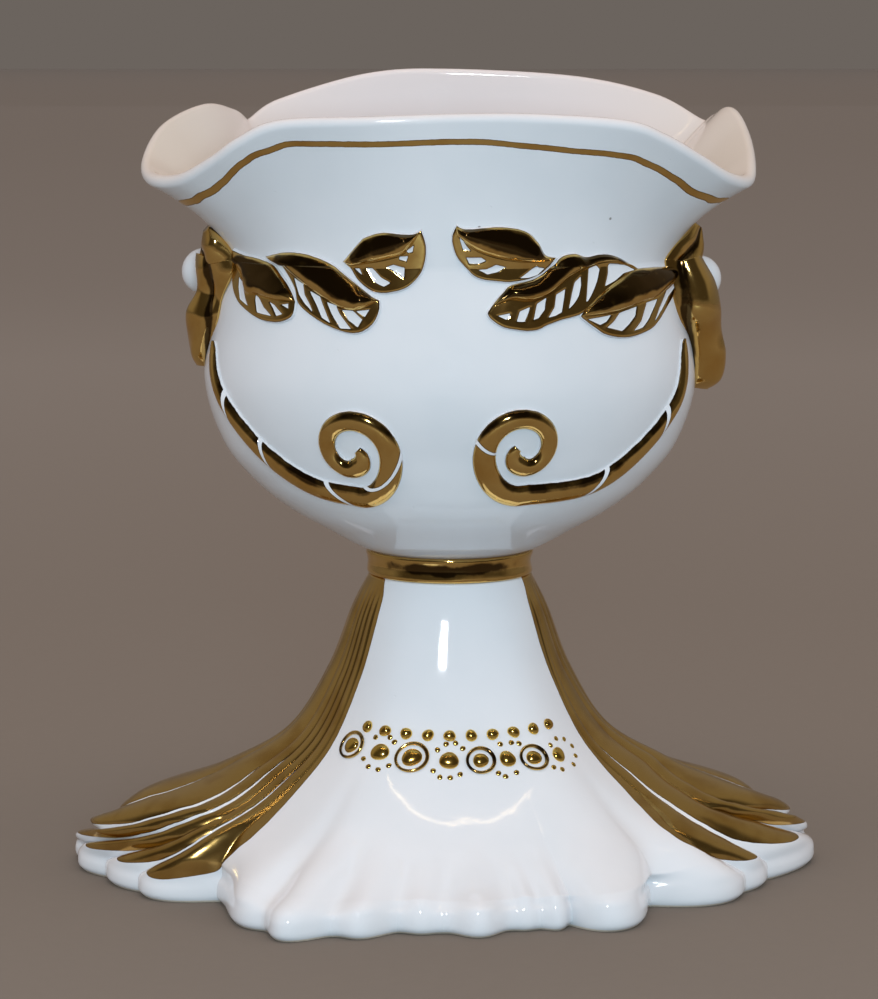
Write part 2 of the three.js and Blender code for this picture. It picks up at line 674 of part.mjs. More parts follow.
function makeMesh(name, geometry, finish) {
  const mesh = new THREE.Mesh(geometry, new THREE.MeshStandardMaterial(finish));
  mesh.name = name;
  return mesh;
}

function buildNecklace() {
  const pieces = new THREE.Group();
  const add = (name, i, geometry) => {
    pieces.add(makeMesh(`${name}_${String(i + 1).padStart(2, '0')}`, geometry, LUSTRE));
  };
  for (let i = 0; i < UPPER_ROW.count; i++) {
    const share = i / (UPPER_ROW.count - 1);
    const degrees = THREE.MathUtils.lerp(UPPER_ROW.first, UPPER_ROW.last, share);
    const down = UPPER_ROW.down + UPPER_ROW.sag * Math.sin(Math.PI * share);
    add('upper_bead', i, beadGeometry(degrees, down, UPPER_ROW.radius));
  }
  LOWER_ROW.forEach(([degrees, down, radius, ringed], i) => {
    add('lower_bead', i, beadGeometry(degrees, down, radius));
    if (ringed) add('necklace_ring', i, ringGeometry(degrees, down, radius + RING_GAP + RING_TUBE));
  });
  return pieces;
}

function buildHead() {
  const head = new THREE.Group();
  const core = headCore(JOINT);
  head.add(makeMesh('head_bowl', buildHeadBowl(), GLAZE));
  Object.entries(buildLeaves()).forEach(([name, geometry]) => {
    head.add(makeMesh(name, geometry, LUSTRE));
  });
  Object.entries(SCROLLS).forEach(([name, scroll]) => {
    head.add(makeMesh(name, buildScroll(scroll), LUSTRE));
  });
  Object.entries(LOCKS).forEach(([name, stations]) => {
    head.add(makeMesh(name, buildLock(stations, core), LUSTRE));
  });
  Object.entries(PEARLS).forEach(([name, place]) => {
    head.add(makeMesh(name, buildPearl(place, core), GLAZE));
  });
  head.position.z = PEDESTAL_HEIGHT + COLLAR_HEIGHT;
  head.rotation.z = radians(HEAD_TURN);
  return head;
}

const vase = new THREE.Group();
vase.add(makeMesh('pedestal', buildPedestal(), GLAZE));
const collar = makeMesh('neck_collar', buildCollar(), LUSTRE);
collar.position.z = PEDESTAL_HEIGHT;
vase.add(collar);
vase.add(buildHead());
vase.add(buildNecklace());

// One tip of the hem reaches further out than the other
const middle = new THREE.Box3().setFromObject(vase, true).getCenter(new THREE.Vector3());
vase.position.set(-middle.x, -middle.y, 0);

export default vase;
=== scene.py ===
"""The glazed and gilded surfaces of a pottery head vase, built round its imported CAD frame.

Lengths in the tables are millimetres in the row frame: +Z up, the front of the vase towards -Y.
A place on the head is an angle from its front in degrees and a climb above the collar. A place on
the cape of the pedestal is an angle from the front and a share of the way down its slope.
"""

import logging
import math
from dataclasses import dataclass
from enum import Enum
from typing import Any, Callable, Optional, Sequence

import bpy
import numpy as np
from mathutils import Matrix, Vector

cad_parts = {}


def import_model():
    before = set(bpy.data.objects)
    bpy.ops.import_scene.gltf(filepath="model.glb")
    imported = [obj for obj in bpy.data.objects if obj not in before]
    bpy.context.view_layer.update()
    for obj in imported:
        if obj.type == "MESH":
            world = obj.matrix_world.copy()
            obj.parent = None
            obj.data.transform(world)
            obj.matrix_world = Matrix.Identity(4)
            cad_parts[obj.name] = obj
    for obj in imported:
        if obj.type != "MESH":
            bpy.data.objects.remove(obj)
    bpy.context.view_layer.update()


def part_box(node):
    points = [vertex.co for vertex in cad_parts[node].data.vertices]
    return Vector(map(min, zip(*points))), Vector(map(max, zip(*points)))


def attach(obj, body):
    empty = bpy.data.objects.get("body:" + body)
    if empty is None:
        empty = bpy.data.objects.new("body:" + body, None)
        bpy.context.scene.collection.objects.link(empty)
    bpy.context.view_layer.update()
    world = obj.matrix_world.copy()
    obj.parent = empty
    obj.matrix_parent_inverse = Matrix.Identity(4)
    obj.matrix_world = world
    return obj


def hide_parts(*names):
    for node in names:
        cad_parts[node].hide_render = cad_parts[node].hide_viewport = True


log = logging.getLogger("head_vase")

MM = 0.001
BODY = "root"
FULL_TURN = 2 * np.pi
CURVE_STEPS = 1200
PROFILE_STEPS = 1600
RIM_STEPS = 2800


class Slot(Enum):
    """Material slots of the record."""

    GLAZE = "white_glaze"
    LUSTRE = "gold_lustre"


# ---- curves and grids


def spline(points: Sequence, t: np.ndarray, closed: bool = False) -> np.ndarray:
    """Smooth curve through points: each piece is a cubic whose slope at a point is half the
    step between that point's two neighbours.

    Args:
        points: The points, each a row of numbers.
        t: Shares of the way along, from 0 to 1.
        closed: Whether the curve runs back to its first point.

    Returns:
        The curve's points, with the shape of t and one more axis.
    """
    table = np.asarray(points, float)
    pieces = len(table) if closed else len(table) - 1
    place = np.clip(np.asarray(t, float), 0, 1) * pieces
    first = np.minimum(np.floor(place).astype(int), pieces - 1)
    w = (place - first).reshape(place.shape + (1,) * (table.ndim - 1))
    at = [first + k for k in (-1, 0, 1, 2)]
    if closed:
        p0, p1, p2, p3 = (table[i % len(table)] for i in at)
    else:
        p0, p1, p2, p3 = (table[np.clip(i, 0, len(table) - 1)] for i in at)
    v1 = (p2 - p0) / 2
    v2 = (p3 - p1) / 2
    cubic = (2 * p1 - 2 * p2 + v1 + v2) * w**3
    return cubic + (3 * p2 - 3 * p1 - 2 * v1 - v2) * w**2 + v1 * w + p1


def eased(t: np.ndarray, table: tuple) -> np.ndarray:
    """Values between the stops of a table, joined smoothly.

    Between two stops it is a cubic. Its slope at a stop is the harmonic mean of the slopes
    on either side, and none at a peak or a valley, so it goes beyond no stop.

    Args:
        t: Where to read the table.
        table: Its stops, each a place and a value.

    Returns:
        The values.
    """
    place, value = np.transpose(np.asarray(table, dtype=float))
    rise = np.diff(value) / np.diff(place)
    both = rise[1:] * rise[:-1]
    total = np.where(both > 0, rise[1:] + rise[:-1], 1)
    slope = np.concatenate([rise[:1], np.where(both > 0, 2 * both / total, 0), rise[-1:]])
    index = np.clip(np.searchsorted(place, t) - 1, 0, len(place) - 2)
    span = place[index + 1] - place[index]
    w = np.clip((t - place[index]) / span, 0, 1)
    start = value[index] + slope[index] * span * w
    stop = value[index + 1] - slope[index + 1] * span * (1 - w)
    return start + (stop - start) * w * w * (3 - 2 * w)


def evenly(points: Sequence, count: int, closed: bool = False) -> np.ndarray:
    """Points at equal steps of length along the smooth curve through the given points.

    Args:
        points: The points, each a row of numbers.
        count: How many to return.
        closed: Whether the curve runs back to its first point.

    Returns:
        The points, (count, numbers).
    """
    dense = spline(points, np.linspace(0, 1, CURVE_STEPS), closed)
    steps = np.linalg.norm(np.diff(dense, axis=0), axis=1)
    run = np.concatenate([[0], np.cumsum(steps)])
    wanted = np.linspace(0, run[-1], count)
    return np.stack([np.interp(wanted, run, dense[:, k]) for k in range(dense.shape[1])], -1)


def smooth(x: np.ndarray, low: float, high: float) -> np.ndarray:
    """Smooth step: 0 below low, 1 above high, and 3s^2 - 2s^3 of the share between."""
    s = np.clip((x - low) / (high - low), 0, 1)
    return s * s * (3 - 2 * s)


def unit(v: np.ndarray) -> np.ndarray:
    """Vectors brought to length one."""
    return v / np.maximum(np.linalg.norm(v, axis=-1, keepdims=True), 1e-12)


def turns(count: int) -> np.ndarray:
    """Angles at equal steps of a full turn, without its end."""
    return np.arange(count) * FULL_TURN / count


def signed(angle: np.ndarray) -> np.ndarray:
    """Angles brought between half a turn back and half a turn on."""
    return (angle + np.pi) % FULL_TURN - np.pi


def bell(x: np.ndarray, middle: np.ndarray, width: float, power: int = 2) -> np.ndarray:
    """Hump of height one: e to the minus power of the distance from its middle in widths."""
    return np.exp(-(((x - middle) / width) ** power))


def polar(angle: np.ndarray, radius: np.ndarray, height: np.ndarray) -> np.ndarray:
    """Points at an angle from the front, a distance from the axis and a height."""
    parts = np.broadcast_arrays(radius * np.sin(angle), -radius * np.cos(angle), height)
    return np.stack(parts, -1)


def outside_polygon(spots: np.ndarray, corners: np.ndarray) -> np.ndarray:
    """Signed distance of flat spots from a polygon, negative inside it.

    The distance is the least one to an edge, and a spot is inside when a ray from it crosses
    the outline an odd number of times.

    Args:
        spots: Array of points (..., 2).
        corners: The outline's corners (n, 2).

    Returns:
        The distances, with the shape of the spots.
    """
    a = np.asarray(corners, float)
    b = np.roll(a, -1, axis=0)
    to = spots[..., None, :] - a
    edge = b - a
    share = np.clip((to * edge).sum(-1) / (edge**2).sum(-1), 0, 1)
    away = np.linalg.norm(to - share[..., None] * edge, axis=-1).min(-1)
    x, y = spots[..., None, 0], spots[..., None, 1]
    spans = (a[:, 1] > y) != (b[:, 1] > y)
    rise = np.where(edge[:, 1] == 0, 1, edge[:, 1])
    crosses = spans & (x < a[:, 0] + edge[:, 0] * (y - a[:, 1]) / rise)
    return np.where(crosses.sum(-1) % 2 == 1, -away, away)


@dataclass(frozen=True)
class Bench:
    """Where the vase stands: its meshes are made round its axis and put there.

    The axis runs up through the middle of the neck, in millimetres in the row frame.
    """

    axis: np.ndarray

    @classmethod
    def under(cls, node: str) -> "Bench":
        """The bench whose axis runs through the middle of a CAD node."""
        low, high = (np.array(corner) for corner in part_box(node))
        return cls((low + high) / 2 / MM * np.array([1, 1, 0]))

    def skin(
        self,
        name: str,
        rows: np.ndarray,
        start: Optional[Sequence[float]] = None,
        end: Optional[Sequence[float]] = None,
        loop: bool = False,
        marks: Optional[dict[str, np.ndarray]] = None,
    ) -> bpy.types.Object:
        """Closed mesh over rings of points, each ring joined to the next.

        Args:
            name: Name of the new object.
            rows: Rings of points in millimetres from the axis, (rings, points, 3). Seen from
                outside, a ring runs to the right and the next ring lies above it.
            start: Pole that closes the first ring, or None.
            end: Pole that closes the last ring, or None.
            loop: Whether the last ring joins the first.
            marks: Numbers to keep on the points for the finish, each (rings, points).

        Returns:
            The object, linked to the scene.
        """
        count, width = rows.shape[:2]
        poles = [p for p in (start, end) if p is not None]
        points = [rows.reshape(-1, 3)] + [np.asarray(p, float).reshape(1, 3) for p in poles]
        ring = np.arange(width)
        after = (ring + 1) % width
        low = np.arange(count if loop else count - 1)[:, None] * width
        high = (low + width) % (count * width)
        quads = np.stack([low + ring, low + after, high + after, high + ring], -1).reshape(-1, 4)
        fans = []
        pole = count * width
        if start is not None:
            fans.append(np.stack([np.full(width, pole), after, ring], -1))
            pole += 1
        if end is not None:
            base = (count - 1) * width
            fans.append(np.stack([base + ring, base + after, np.full(width, pole)], -1))
        corners = np.concatenate([quads.ravel()] + [f.ravel() for f in fans])
        sizes = np.concatenate([np.full(len(quads), 4)] + [np.full(len(f), 3) for f in fans])
        mesh = bpy.data.meshes.new(name)
        place = (np.concatenate(points) + self.axis) * MM
        mesh.vertices.add(len(place))
        mesh.vertices.foreach_set("co", place.astype(np.float32).ravel())
        mesh.loops.add(len(corners))
        mesh.loops.foreach_set("vertex_index", corners.astype(np.int32))
        mesh.polygons.add(len(sizes))
        begin = np.concatenate([[0], np.cumsum(sizes)[:-1]])
        mesh.polygons.foreach_set("loop_start", begin.astype(np.int32))
        mesh.polygons.foreach_set("use_smooth", np.ones(len(sizes), bool))
        mesh.update(calc_edges=True)
        for key, values in (marks or {}).items():
            flat = np.concatenate([values.ravel(), np.full(len(poles), values.ravel()[-1])])
            layer = mesh.attributes.new(key, "FLOAT", "POINT")
            layer.data.foreach_set("value", flat.astype(np.float32))
        mesh.validate()
        thing = bpy.data.objects.new(name, mesh)
        bpy.context.scene.collection.objects.link(thing)
        return thing

    def join(self, name: str, parts: list[bpy.types.Object]) -> bpy.types.Object:
        """One object out of several, under a new name.

        Args:
            name: Name of the new object.
            parts: The objects, which become one.

        Returns:
            The object.
        """
        bpy.ops.object.select_all(action="DESELECT")
        for part in parts:
            part.select_set(True)
        bpy.context.view_layer.objects.active = parts[0]
        bpy.ops.object.join()
        parts[0].name = name
        parts[0].data.name = name
        return parts[0]

    def settle(
        self, thing: bpy.types.Object, material: bpy.types.Material, slot: Slot, *nodes: str
    ) -> None:
        """Gives a piece its finish and body, and hides the CAD nodes that it stands for.

        Args:
            thing: The piece.
            material: Its finish.
            slot: Its slot of the record; not used.
            nodes: CAD nodes that it replaces.
        """
        thing.data.materials.clear()
        thing.data.materials.append(material)
        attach(thing, BODY)
        if nodes:
            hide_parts(*nodes)
        log.info("%s: %d faces", thing.name, len(thing.data.polygons))


# ---- surfaces that the ornament lies on


@dataclass(frozen=True)
class HeadSurface:
    """Outside of the bowl and brim, in the head's own frame, with its climb above the collar.

    The profile is shares of the bowl's spread past the neck and of the waist's height. The
    shoulder is a share of the overhang past the waist, and one of its height. The rim is
    measured points with their height above the waist. The bend says where between waist
    and rim the flare's middle control point lies, across and up.
    """

    neck_radius: float = 31.0
    bowl_radius: float = 90.2
    waist_radius: float = 82.0
    waist: float = 107.0
    brim_span: float = 56.0
    depth_share: float = 0.82
    base: float = 119.0
    turn: float = math.radians(-4)
    shoulder: tuple = (0.62, 0.81)
    oval_from: float = 0.4
    bend: tuple = (0.12, 0.12, 0.5)
    step_round: float = 0.02
    step_up: float = 0.8
    profile: tuple = (
        (0, 0), (0.1, 0.026), (0.255, 0.075), (0.49, 0.15), (0.71, 0.25), (0.895, 0.385), (1, 0.59),
    )
    rim: tuple = (
        (3, -74, 50.3), (-30, -74, 49), (-59, -68, 47.5), (-73, -62, 41.5), (-83, -54, 34.5),
        (-95.5, -42, 27.5), (-107, -26, 27), (-110.5, -8, 33), (-105.5, 10, 44.5), (-93, 28, 51.5),
        (-84, 42, 49.5), (-77.5, 50, 45.5), (-65, 57, 53.5), (-32, 67, 63.5), (0, 70, 65.3),
        (47, 66, 62.3), (78, 58, 55), (96, 49, 45), (102, 42, 47), (106, 30, 49.7), (109, 14, 43),
        (109.5, -6, 34), (107, -24, 26.5), (98.5, -38, 28), (87, -50, 35), (74, -60, 42.5),
        (60, -67, 47.5), (30, -73, 50),
    )

    @property
    def top(self) -> float:
        """Climb of the rim."""
        return self.waist + self.brim_span

    def radius(self, climb: np.ndarray) -> np.ndarray:
        """Half width of the bowl at a climb, read off the thrown profile.

        Args:
            climb: Climbs above the collar.

        Returns:
            The radii.
        """
        spread = self.bowl_radius - self.neck_radius
        table = [(self.neck_radius + out * spread, up * self.waist) for out, up in self.profile]
        out, up = self.shoulder
        overhang = self.bowl_radius - self.waist_radius
        table += [(self.waist_radius + out * overhang, up * self.waist)]
        table += [(self.waist_radius, self.waist)]
        dense = spline(table, np.linspace(0, 1, PROFILE_STEPS))
        return np.interp(climb, dense[:, 1], dense[:, 0])

    def rim_point(self, angle: np.ndarray) -> np.ndarray:
        """Rim at an angle, read off the closed curve through the measured points.

        Args:
            angle: Angles from the front.

        Returns:
            Points in the head's own frame.
        """
        dense = spline(self.rim, np.linspace(0, 1, RIM_STEPS + 1)[:-1], closed=True)
        depth = self.waist_radius * self.depth_share
        at = np.arctan2(dense[:, 0] / self.waist_radius, -dense[:, 1] / depth) % FULL_TURN
        order = np.argsort(at)
        wanted = np.asarray(angle) % FULL_TURN
        parts = [np.interp(wanted, at[order], dense[order, k], period=FULL_TURN) for k in range(3)]
        parts[2] = parts[2] + self.waist
        return np.stack(parts, -1)

    def point(self, angle: np.ndarray, climb: np.ndarray) -> np.ndarray:
        """Point of the surface: an ellipse up to the waist, then a quadratic curve to the rim.

        Args:
            angle: Angles from the front.
            climb: Climbs above the collar.

        Returns:
            Points in the head's own frame.
        """
        angle, climb = np.broadcast_arrays(np.asarray(angle, float), np.asarray(climb, float))
        height = np.minimum(climb, self.waist)
        radius = self.radius(height)
        oval = smooth(height, 0, self.oval_from * self.waist)
        depth = radius * (1 - (1 - self.depth_share) * oval)
        low = np.stack([radius * np.sin(angle), -depth * np.cos(angle), height], -1)
        rim = self.rim_point(angle)
        bend = low + (rim - low) * np.array(self.bend)
        s = np.clip((climb - self.waist) / self.brim_span, 0, 1)[..., None]
        flare = (1 - s) ** 2 * low + 2 * s * (1 - s) * bend + s**2 * rim
        return np.where(s > 0, flare, low)

    def frame(self, angle: np.ndarray, climb: np.ndarray) -> tuple[np.ndarray, ...]:
        """Point, normal, and directions across and up, from small steps on the surface.

        Args:
            angle: Angles from the front.
            climb: Climbs above the collar.

        Returns:
            The point and the three directions, each of length one.
        """
        turn = self.step_round
        across = self.point(angle + turn, climb) - self.point(angle - turn, climb)
        upper = np.minimum(climb + self.step_up, self.top)
        lower = np.maximum(climb - self.step_up, 0)
        up = self.point(angle, upper) - self.point(angle, lower)
        normal = unit(np.cross(across, up))
        return self.point(angle, climb), normal, unit(across), unit(up)

    def lift(self, angle: np.ndarray, climb: np.ndarray, height: np.ndarray) -> np.ndarray:
        """Point that stands off the surface by a height along its normal."""
        point, normal, _, _ = self.frame(angle, climb)
        return point + normal * np.asarray(height, float)[..., None]

    def across(self, angle: float, climb: float) -> float:
        """Millimetres across the surface for each radian of angle, at one place.

        Args:
            angle: Angle from the front.
            climb: Climb above the collar.

        Returns:
            The length.
        """
        turn = self.step_round
        step = self.point(angle + turn, climb) - self.point(angle - turn, climb)
        return float(np.linalg.norm(step)) / (2 * turn)

    def place(self, points: np.ndarray) -> np.ndarray:
        """Points of the head's own frame in the row frame.

        Args:
            points: Points in the head's own frame.

        Returns:
            The same points, turned and lifted.
        """
        points = np.asarray(points, float)
        c, s = math.cos(self.turn), math.sin(self.turn)
        x, y, z = points[..., 0], points[..., 1], points[..., 2]
        return np.stack([c * x - s * y, s * x + c * y, z + self.base], -1)


@dataclass(frozen=True)
class CapeSurface:
    """Slope of the pedestal, between the neck and the rounded six-sided hem.

    The front and side slopes are shares of the way out to the hem and up to the neck.
    """

    height: float = 109.5
    neck_radius: float = 30.0
    half_width: float = 134.3
    skew: float = 2.8
    half_depth: float = 105.0
    corner: float = 66.0
    hem_top: float = 9.0
    sharpness: int = 14
    step: float = 0.01
    front: tuple = (
        (0, 1), (0.052, 0.866), (0.169, 0.647), (0.351, 0.408), (0.61, 0.189), (0.844, 0.06), (1, 0),
    )
    side: tuple = (
        (0, 1), (0.058, 0.876), (0.144, 0.647), (0.288, 0.418), (0.519, 0.279), (0.788, 0.174), (1, 0),
    )

    def hem(self, angle: np.ndarray) -> np.ndarray:
        """Plan radius of the hem: the shares of its sides added with a high power.

        Args:
            angle: Angles from the front.

        Returns:
            The radii.
        """
        n = self.sharpness
        tip = (self.half_width - self.skew * np.sin(angle)) * 2 ** (1 / n)
        slant = np.hypot(self.half_depth, tip - self.corner)
        across = np.abs(np.sin(angle)) * self.half_depth
        along = np.abs(np.cos(angle)) * (tip - self.corner)
        reach = tip * self.half_depth / slant
        total = (np.abs(np.cos(angle)) / self.half_depth) ** n
        total = total + ((across + along) / slant / reach) ** n
        total = total + (np.maximum(across - along, 0) / slant / reach) ** n
        return total ** (-1 / n)

    def slope(self, angle: np.ndarray, t: np.ndarray) -> np.ndarray:
        """Radius and height, mixed from the front and side slopes by the squared sine.

        Args:
            angle: Angles from the front.
            t: Shares down the slope.

        Returns:
            Radius and height, (..., 2).
        """
        angle, t = np.broadcast_arrays(np.asarray(angle, float), np.asarray(t, float))
        sideways = (np.sin(angle) ** 2)[..., None]
        share = spline(self.front, t) * (1 - sideways) + spline(self.side, t) * sideways
        radius = self.neck_radius + share[..., 0] * (self.hem(angle) - self.neck_radius)
        return np.stack([radius, self.hem_top + share[..., 1] * (self.height - self.hem_top)], -1)

    def point(self, angle: np.ndarray, t: np.ndarray, lift: np.ndarray) -> np.ndarray:
        """Point that stands off the slope by a lift, square to it in its upright plane.

        Args:
            angle: Angles from the front.
            t: Shares down the slope.
            lift: Heights off the slope.

        Returns:
            The points.
        """
        ahead = self.slope(angle, np.minimum(t + self.step, 1))
        along = unit(ahead - self.slope(angle, np.maximum(t - self.step, 0)))
        normal = np.stack([-along[..., 1], along[..., 0]], -1)
        at = self.slope(angle, t) + normal * np.asarray(lift, float)[..., None]
        return polar(angle, at[..., 0], at[..., 1])

    def spot(self, degrees: float, t: float) -> Callable[..., np.ndarray]:
        """Function from millimetres across, up and off the slope at one place to a point.

        Args:
            degrees: Angle of the place from the front.
            t: Its share down the slope.

        Returns:
            The function.
        """
        angle = math.radians(degrees)
        radius = self.slope(angle, t)[0]
        step = self.slope(angle, t + self.step) - self.slope(angle, t - self.step)
        run = np.linalg.norm(step) / (2 * self.step)

        def at(across: np.ndarray, up: np.ndarray, lift: np.ndarray) -> np.ndarray:
            """Point at those lengths from the place."""
            return self.point(angle + across / radius, t - up / run, lift)

        return at


HEAD = HeadSurface()
CAPE = CapeSurface()


def sprig(bench: Bench, name: str, rings: np.ndarray, marks: dict[str, np.ndarray]) -> bpy.types.Object:
    """Mesh of an ornament of the head, closed at the middle of its first and last ring."""
    ends = [HEAD.place(ring.mean(0)) for ring in (rings[0], rings[-1])]
    return bench.skin(name, HEAD.place(rings), *ends, marks=marks)


# ---- shader graphs


class Graph:
    """A node tree, to which nodes are added by type, settings, values and links."""

    def __init__(self, owner: Any) -> None:
        """Starts with the emptied node tree of a material or a world.

        Args:
            owner: The material or world.
        """
        self.owner = owner
        owner.use_nodes = True
        self.tree = owner.node_tree
        self.tree.nodes.clear()

    @classmethod
    def of_material(cls, name: str) -> "Graph":
        """The graph of a new material."""
        return cls(bpy.data.materials.new(name))

    def node(
        self,
        kind: str,
        settings: Optional[dict[str, Any]] = None,
        inputs: Optional[dict[Any, Any]] = None,
    ) -> bpy.types.Node:
        """Adds a node.

        Args:
            kind: The node's type without its ShaderNode prefix.
            settings: Properties of the node.
            inputs: What goes into its sockets: a field links, a plain value is set.

        Returns:
            The new node.
        """
        node = self.tree.nodes.new("ShaderNode" + kind)
        for key, value in (settings or {}).items():
            setattr(node, key, value)
        for key, value in (inputs or {}).items():
            if isinstance(value, Field):
                self.tree.links.new(value.socket, node.inputs[key])
            else:
                node.inputs[key].default_value = value
        return node

    def field(self, node: bpy.types.Node, output: Any = 0) -> "Field":
        """A node's output as a field."""
        return Field(self, node.outputs[output])

    def mark(self, name: str) -> "Field":
        """Numbers kept on the mesh under a name."""
        node = self.node("Attribute", {"attribute_name": name})
        return self.field(node, "Fac")

    def noise(self, scale: float, detail: float = 2.0) -> "Field":
        """Fractal noise from 0 to 1 over object coordinates, with its scale per metre.

        Args:
            scale: Waves for each metre.
            detail: Finer waves that are added.

        Returns:
            The noise.
        """
        spot = self.field(self.node("TexCoord"), "Object")
        values = {"Vector": spot, "Scale": scale, "Detail": detail}
        return self.field(self.node("TexNoise", None, values), "Fac")

    def spots(self, scale: float, edge: tuple, chosen: tuple) -> "Field":
        """Scattered round spots: 1 on the spots and 0 between them.

        Args:
            scale: Cells per metre, each of which may hold a spot.
            edge: Distances from the middle where a spot ends and where it is full.
            chosen: A cell's number, from 0 to 1, at which its spot begins and is full.

        Returns:
            The mask.
        """
        place = self.field(self.node("TexCoord"), "Object")
        cells = self.node("TexVoronoi", None, {"Vector": place, "Scale": scale})
        split = self.node("SeparateColor", None, {"Color": self.field(cells, "Color")})
        return self.field(cells, "Distance").step(*edge) * self.field(split).step(*chosen)

    def height(self) -> "Field":
        """Height of the surface in metres."""
        spot = self.field(self.node("TexCoord"), "Object")
        return self.field(self.node("SeparateXYZ", None, {"Vector": spot}), 2)

    def tint(self, factor: "Field", low: Any, high: Any) -> "Field":
        """Colour between low and high by a factor.

        Args:
            factor: The factor, from 0 to 1.
            low: Colour at 0, plain or a field.
            high: Colour at 1.

        Returns:
            The colour.
        """
        inputs = {"Factor": factor, 6: low, 7: high}
        node = self.node("Mix", {"data_type": "RGBA", "clamp_factor": True}, inputs)
        return self.field(node, 2)

    def finish(self, surface: dict[str, Any], bump: "Field") -> bpy.types.Material:
        """Closes the graph with a surface shader.

        Args:
            surface: Inputs of the surface shader.
            bump: Height field of the fine relief, in millimetres.

        Returns:
            The finished material.
        """
        relief = self.node("Bump", None, {"Height": bump, "Distance": MM, "Strength": 1.0})
        shader = self.node("BsdfPrincipled", None, surface | {"Normal": self.field(relief)})
        output = self.node("OutputMaterial")
        self.tree.links.new(shader.outputs[0], output.inputs[0])
        return self.owner


class Field:
    """A number or colour that varies over a surface, kept as the output socket of a node."""

    def __init__(self, graph: Graph, socket: bpy.types.NodeSocket) -> None:
        """Keeps the socket with the graph that it belongs to."""
        self.graph = graph
        self.socket = socket

    def _math(self, operation: str, *others: Any, first: Any = None) -> "Field":
        """One Math node with this field and others as its operands.

        Args:
            operation: The node's operation.
            others: Operands after this field.
            first: Operand before this field, for a reflected form.

        Returns:
            The result.
        """
        operands = (self, *others) if first is None else (first, self)
        inputs = dict(enumerate(operands))
        node = self.graph.node("Math", {"operation": operation}, inputs)
        return self.graph.field(node)

    def __add__(self, other: Any) -> "Field":
        """Sum."""
        return self._math("ADD", other)

    def __radd__(self, other: Any) -> "Field":
        """Sum, from the right."""
        return self._math("ADD", other)

    def __sub__(self, other: Any) -> "Field":
        """Difference."""
        return self._math("SUBTRACT", other)

    def __rsub__(self, other: Any) -> "Field":
        """Difference, from the right."""
        return self._math("SUBTRACT", first=other)

    def __mul__(self, other: Any) -> "Field":
        """Product."""
        return self._math("MULTIPLY", other)

    def __rmul__(self, other: Any) -> "Field":
        """Product, from the right."""
        return self._math("MULTIPLY", other)

    def __abs__(self) -> "Field":
        """Size without its sign."""
        return self._math("ABSOLUTE")

    def step(self, low: float, high: float) -> "Field":
        """Smooth step from 0 at low to 1 at high.

        Args:
            low: Value that gives 0.
            high: Value that gives 1.

        Returns:
            The share.
        """
        span = {"Value": self, "From Min": low, "From Max": high}
        node = self.graph.node("MapRange", {"interpolation_type": "SMOOTHSTEP"}, span)
        return self.graph.field(node)


# ---- finishes


GLAZE_IOR = 1.52


@dataclass(frozen=True)
class Glaze:
    """Glossy white glaze: a little uneven, greyer where it pools, with pinholes and specks."""

    body: tuple = (0.74, 0.745, 0.775, 1.0)
    pooled: tuple = (0.63, 0.66, 0.70, 1.0)
    # The next two are colours of painted warm shade: inside the hollow, and darker in the side lips.
    cream: tuple = (0.74, 0.665, 0.655, 1.0)
    tan: tuple = (0.57, 0.50, 0.42, 1.0)
    speck: tuple = (0.10, 0.075, 0.055, 1.0)
    roughness: float = 0.07

    def colour(self, graph: Graph) -> Field:
        """Glaze colour: soft clouds between the two whites, with a few dark specks.

        Args:
            graph: The material's graph.

        Returns:
            The colour.
        """
        clouds = graph.noise(26.0, 3.0).step(0.35, 0.75)
        white = graph.tint(clouds * 0.35, self.body, self.pooled)
        specks = graph.spots(150.0, (0.11, 0.06), (0.985, 0.99))
        return graph.tint(specks * 0.75, white, self.speck)

    def relief(self, graph: Graph) -> Field:
        """Fine unevenness in millimetres: slow waves, a faint orange peel and pinholes.

        Args:
            graph: The material's graph.

        Returns:
            The height.
        """
        waves = graph.noise(55.0, 1.0) * 0.22
        peel = graph.noise(420.0, 1.0) * 0.010
        holes = graph.spots(190.0, (0.09, 0.03), (0.955, 0.965))
        return waves + peel - holes * 0.08


@dataclass(frozen=True)
class Lustre:
    """Fired gold: brown-gold, redder where it is thin, with brush streaks and small pits."""

    body: tuple = (0.84, 0.585, 0.20, 1.0)
    thin: tuple = (0.66, 0.38, 0.09, 1.0)
    edge: tuple = (0.10, 0.055, 0.03, 1.0)
    # Colour of the painted shade and dark reflection in the gold.
    dark: tuple = (0.055, 0.032, 0.014, 1.0)
    roughness: float = 0.10

    def colour(self, graph: Graph) -> Field:
        """Gold colour: broad patches where the film is thinner and redder."""
        patches = graph.noise(70.0, 3.0).step(0.42, 0.72)
        return graph.tint(patches * 0.6, self.body, self.thin)

    def shade_painted_gold(self, graph: Graph, metal: Field) -> Field:
        """The gold with painted shade and dark reflection: dark patches where the mark named shade is high.
        """
        patches = graph.mark("shade") + (graph.noise(140.0, 4.0) - 0.5) * 0.9
        return graph.tint(patches.step(0.42, 0.72) * 0.93, metal, self.dark)

    def rough(self, graph: Graph) -> Field:
        """Roughness, a little uneven from the brush."""
        return graph.noise(300.0, 3.0) * 0.10 + (self.roughness - 0.04)


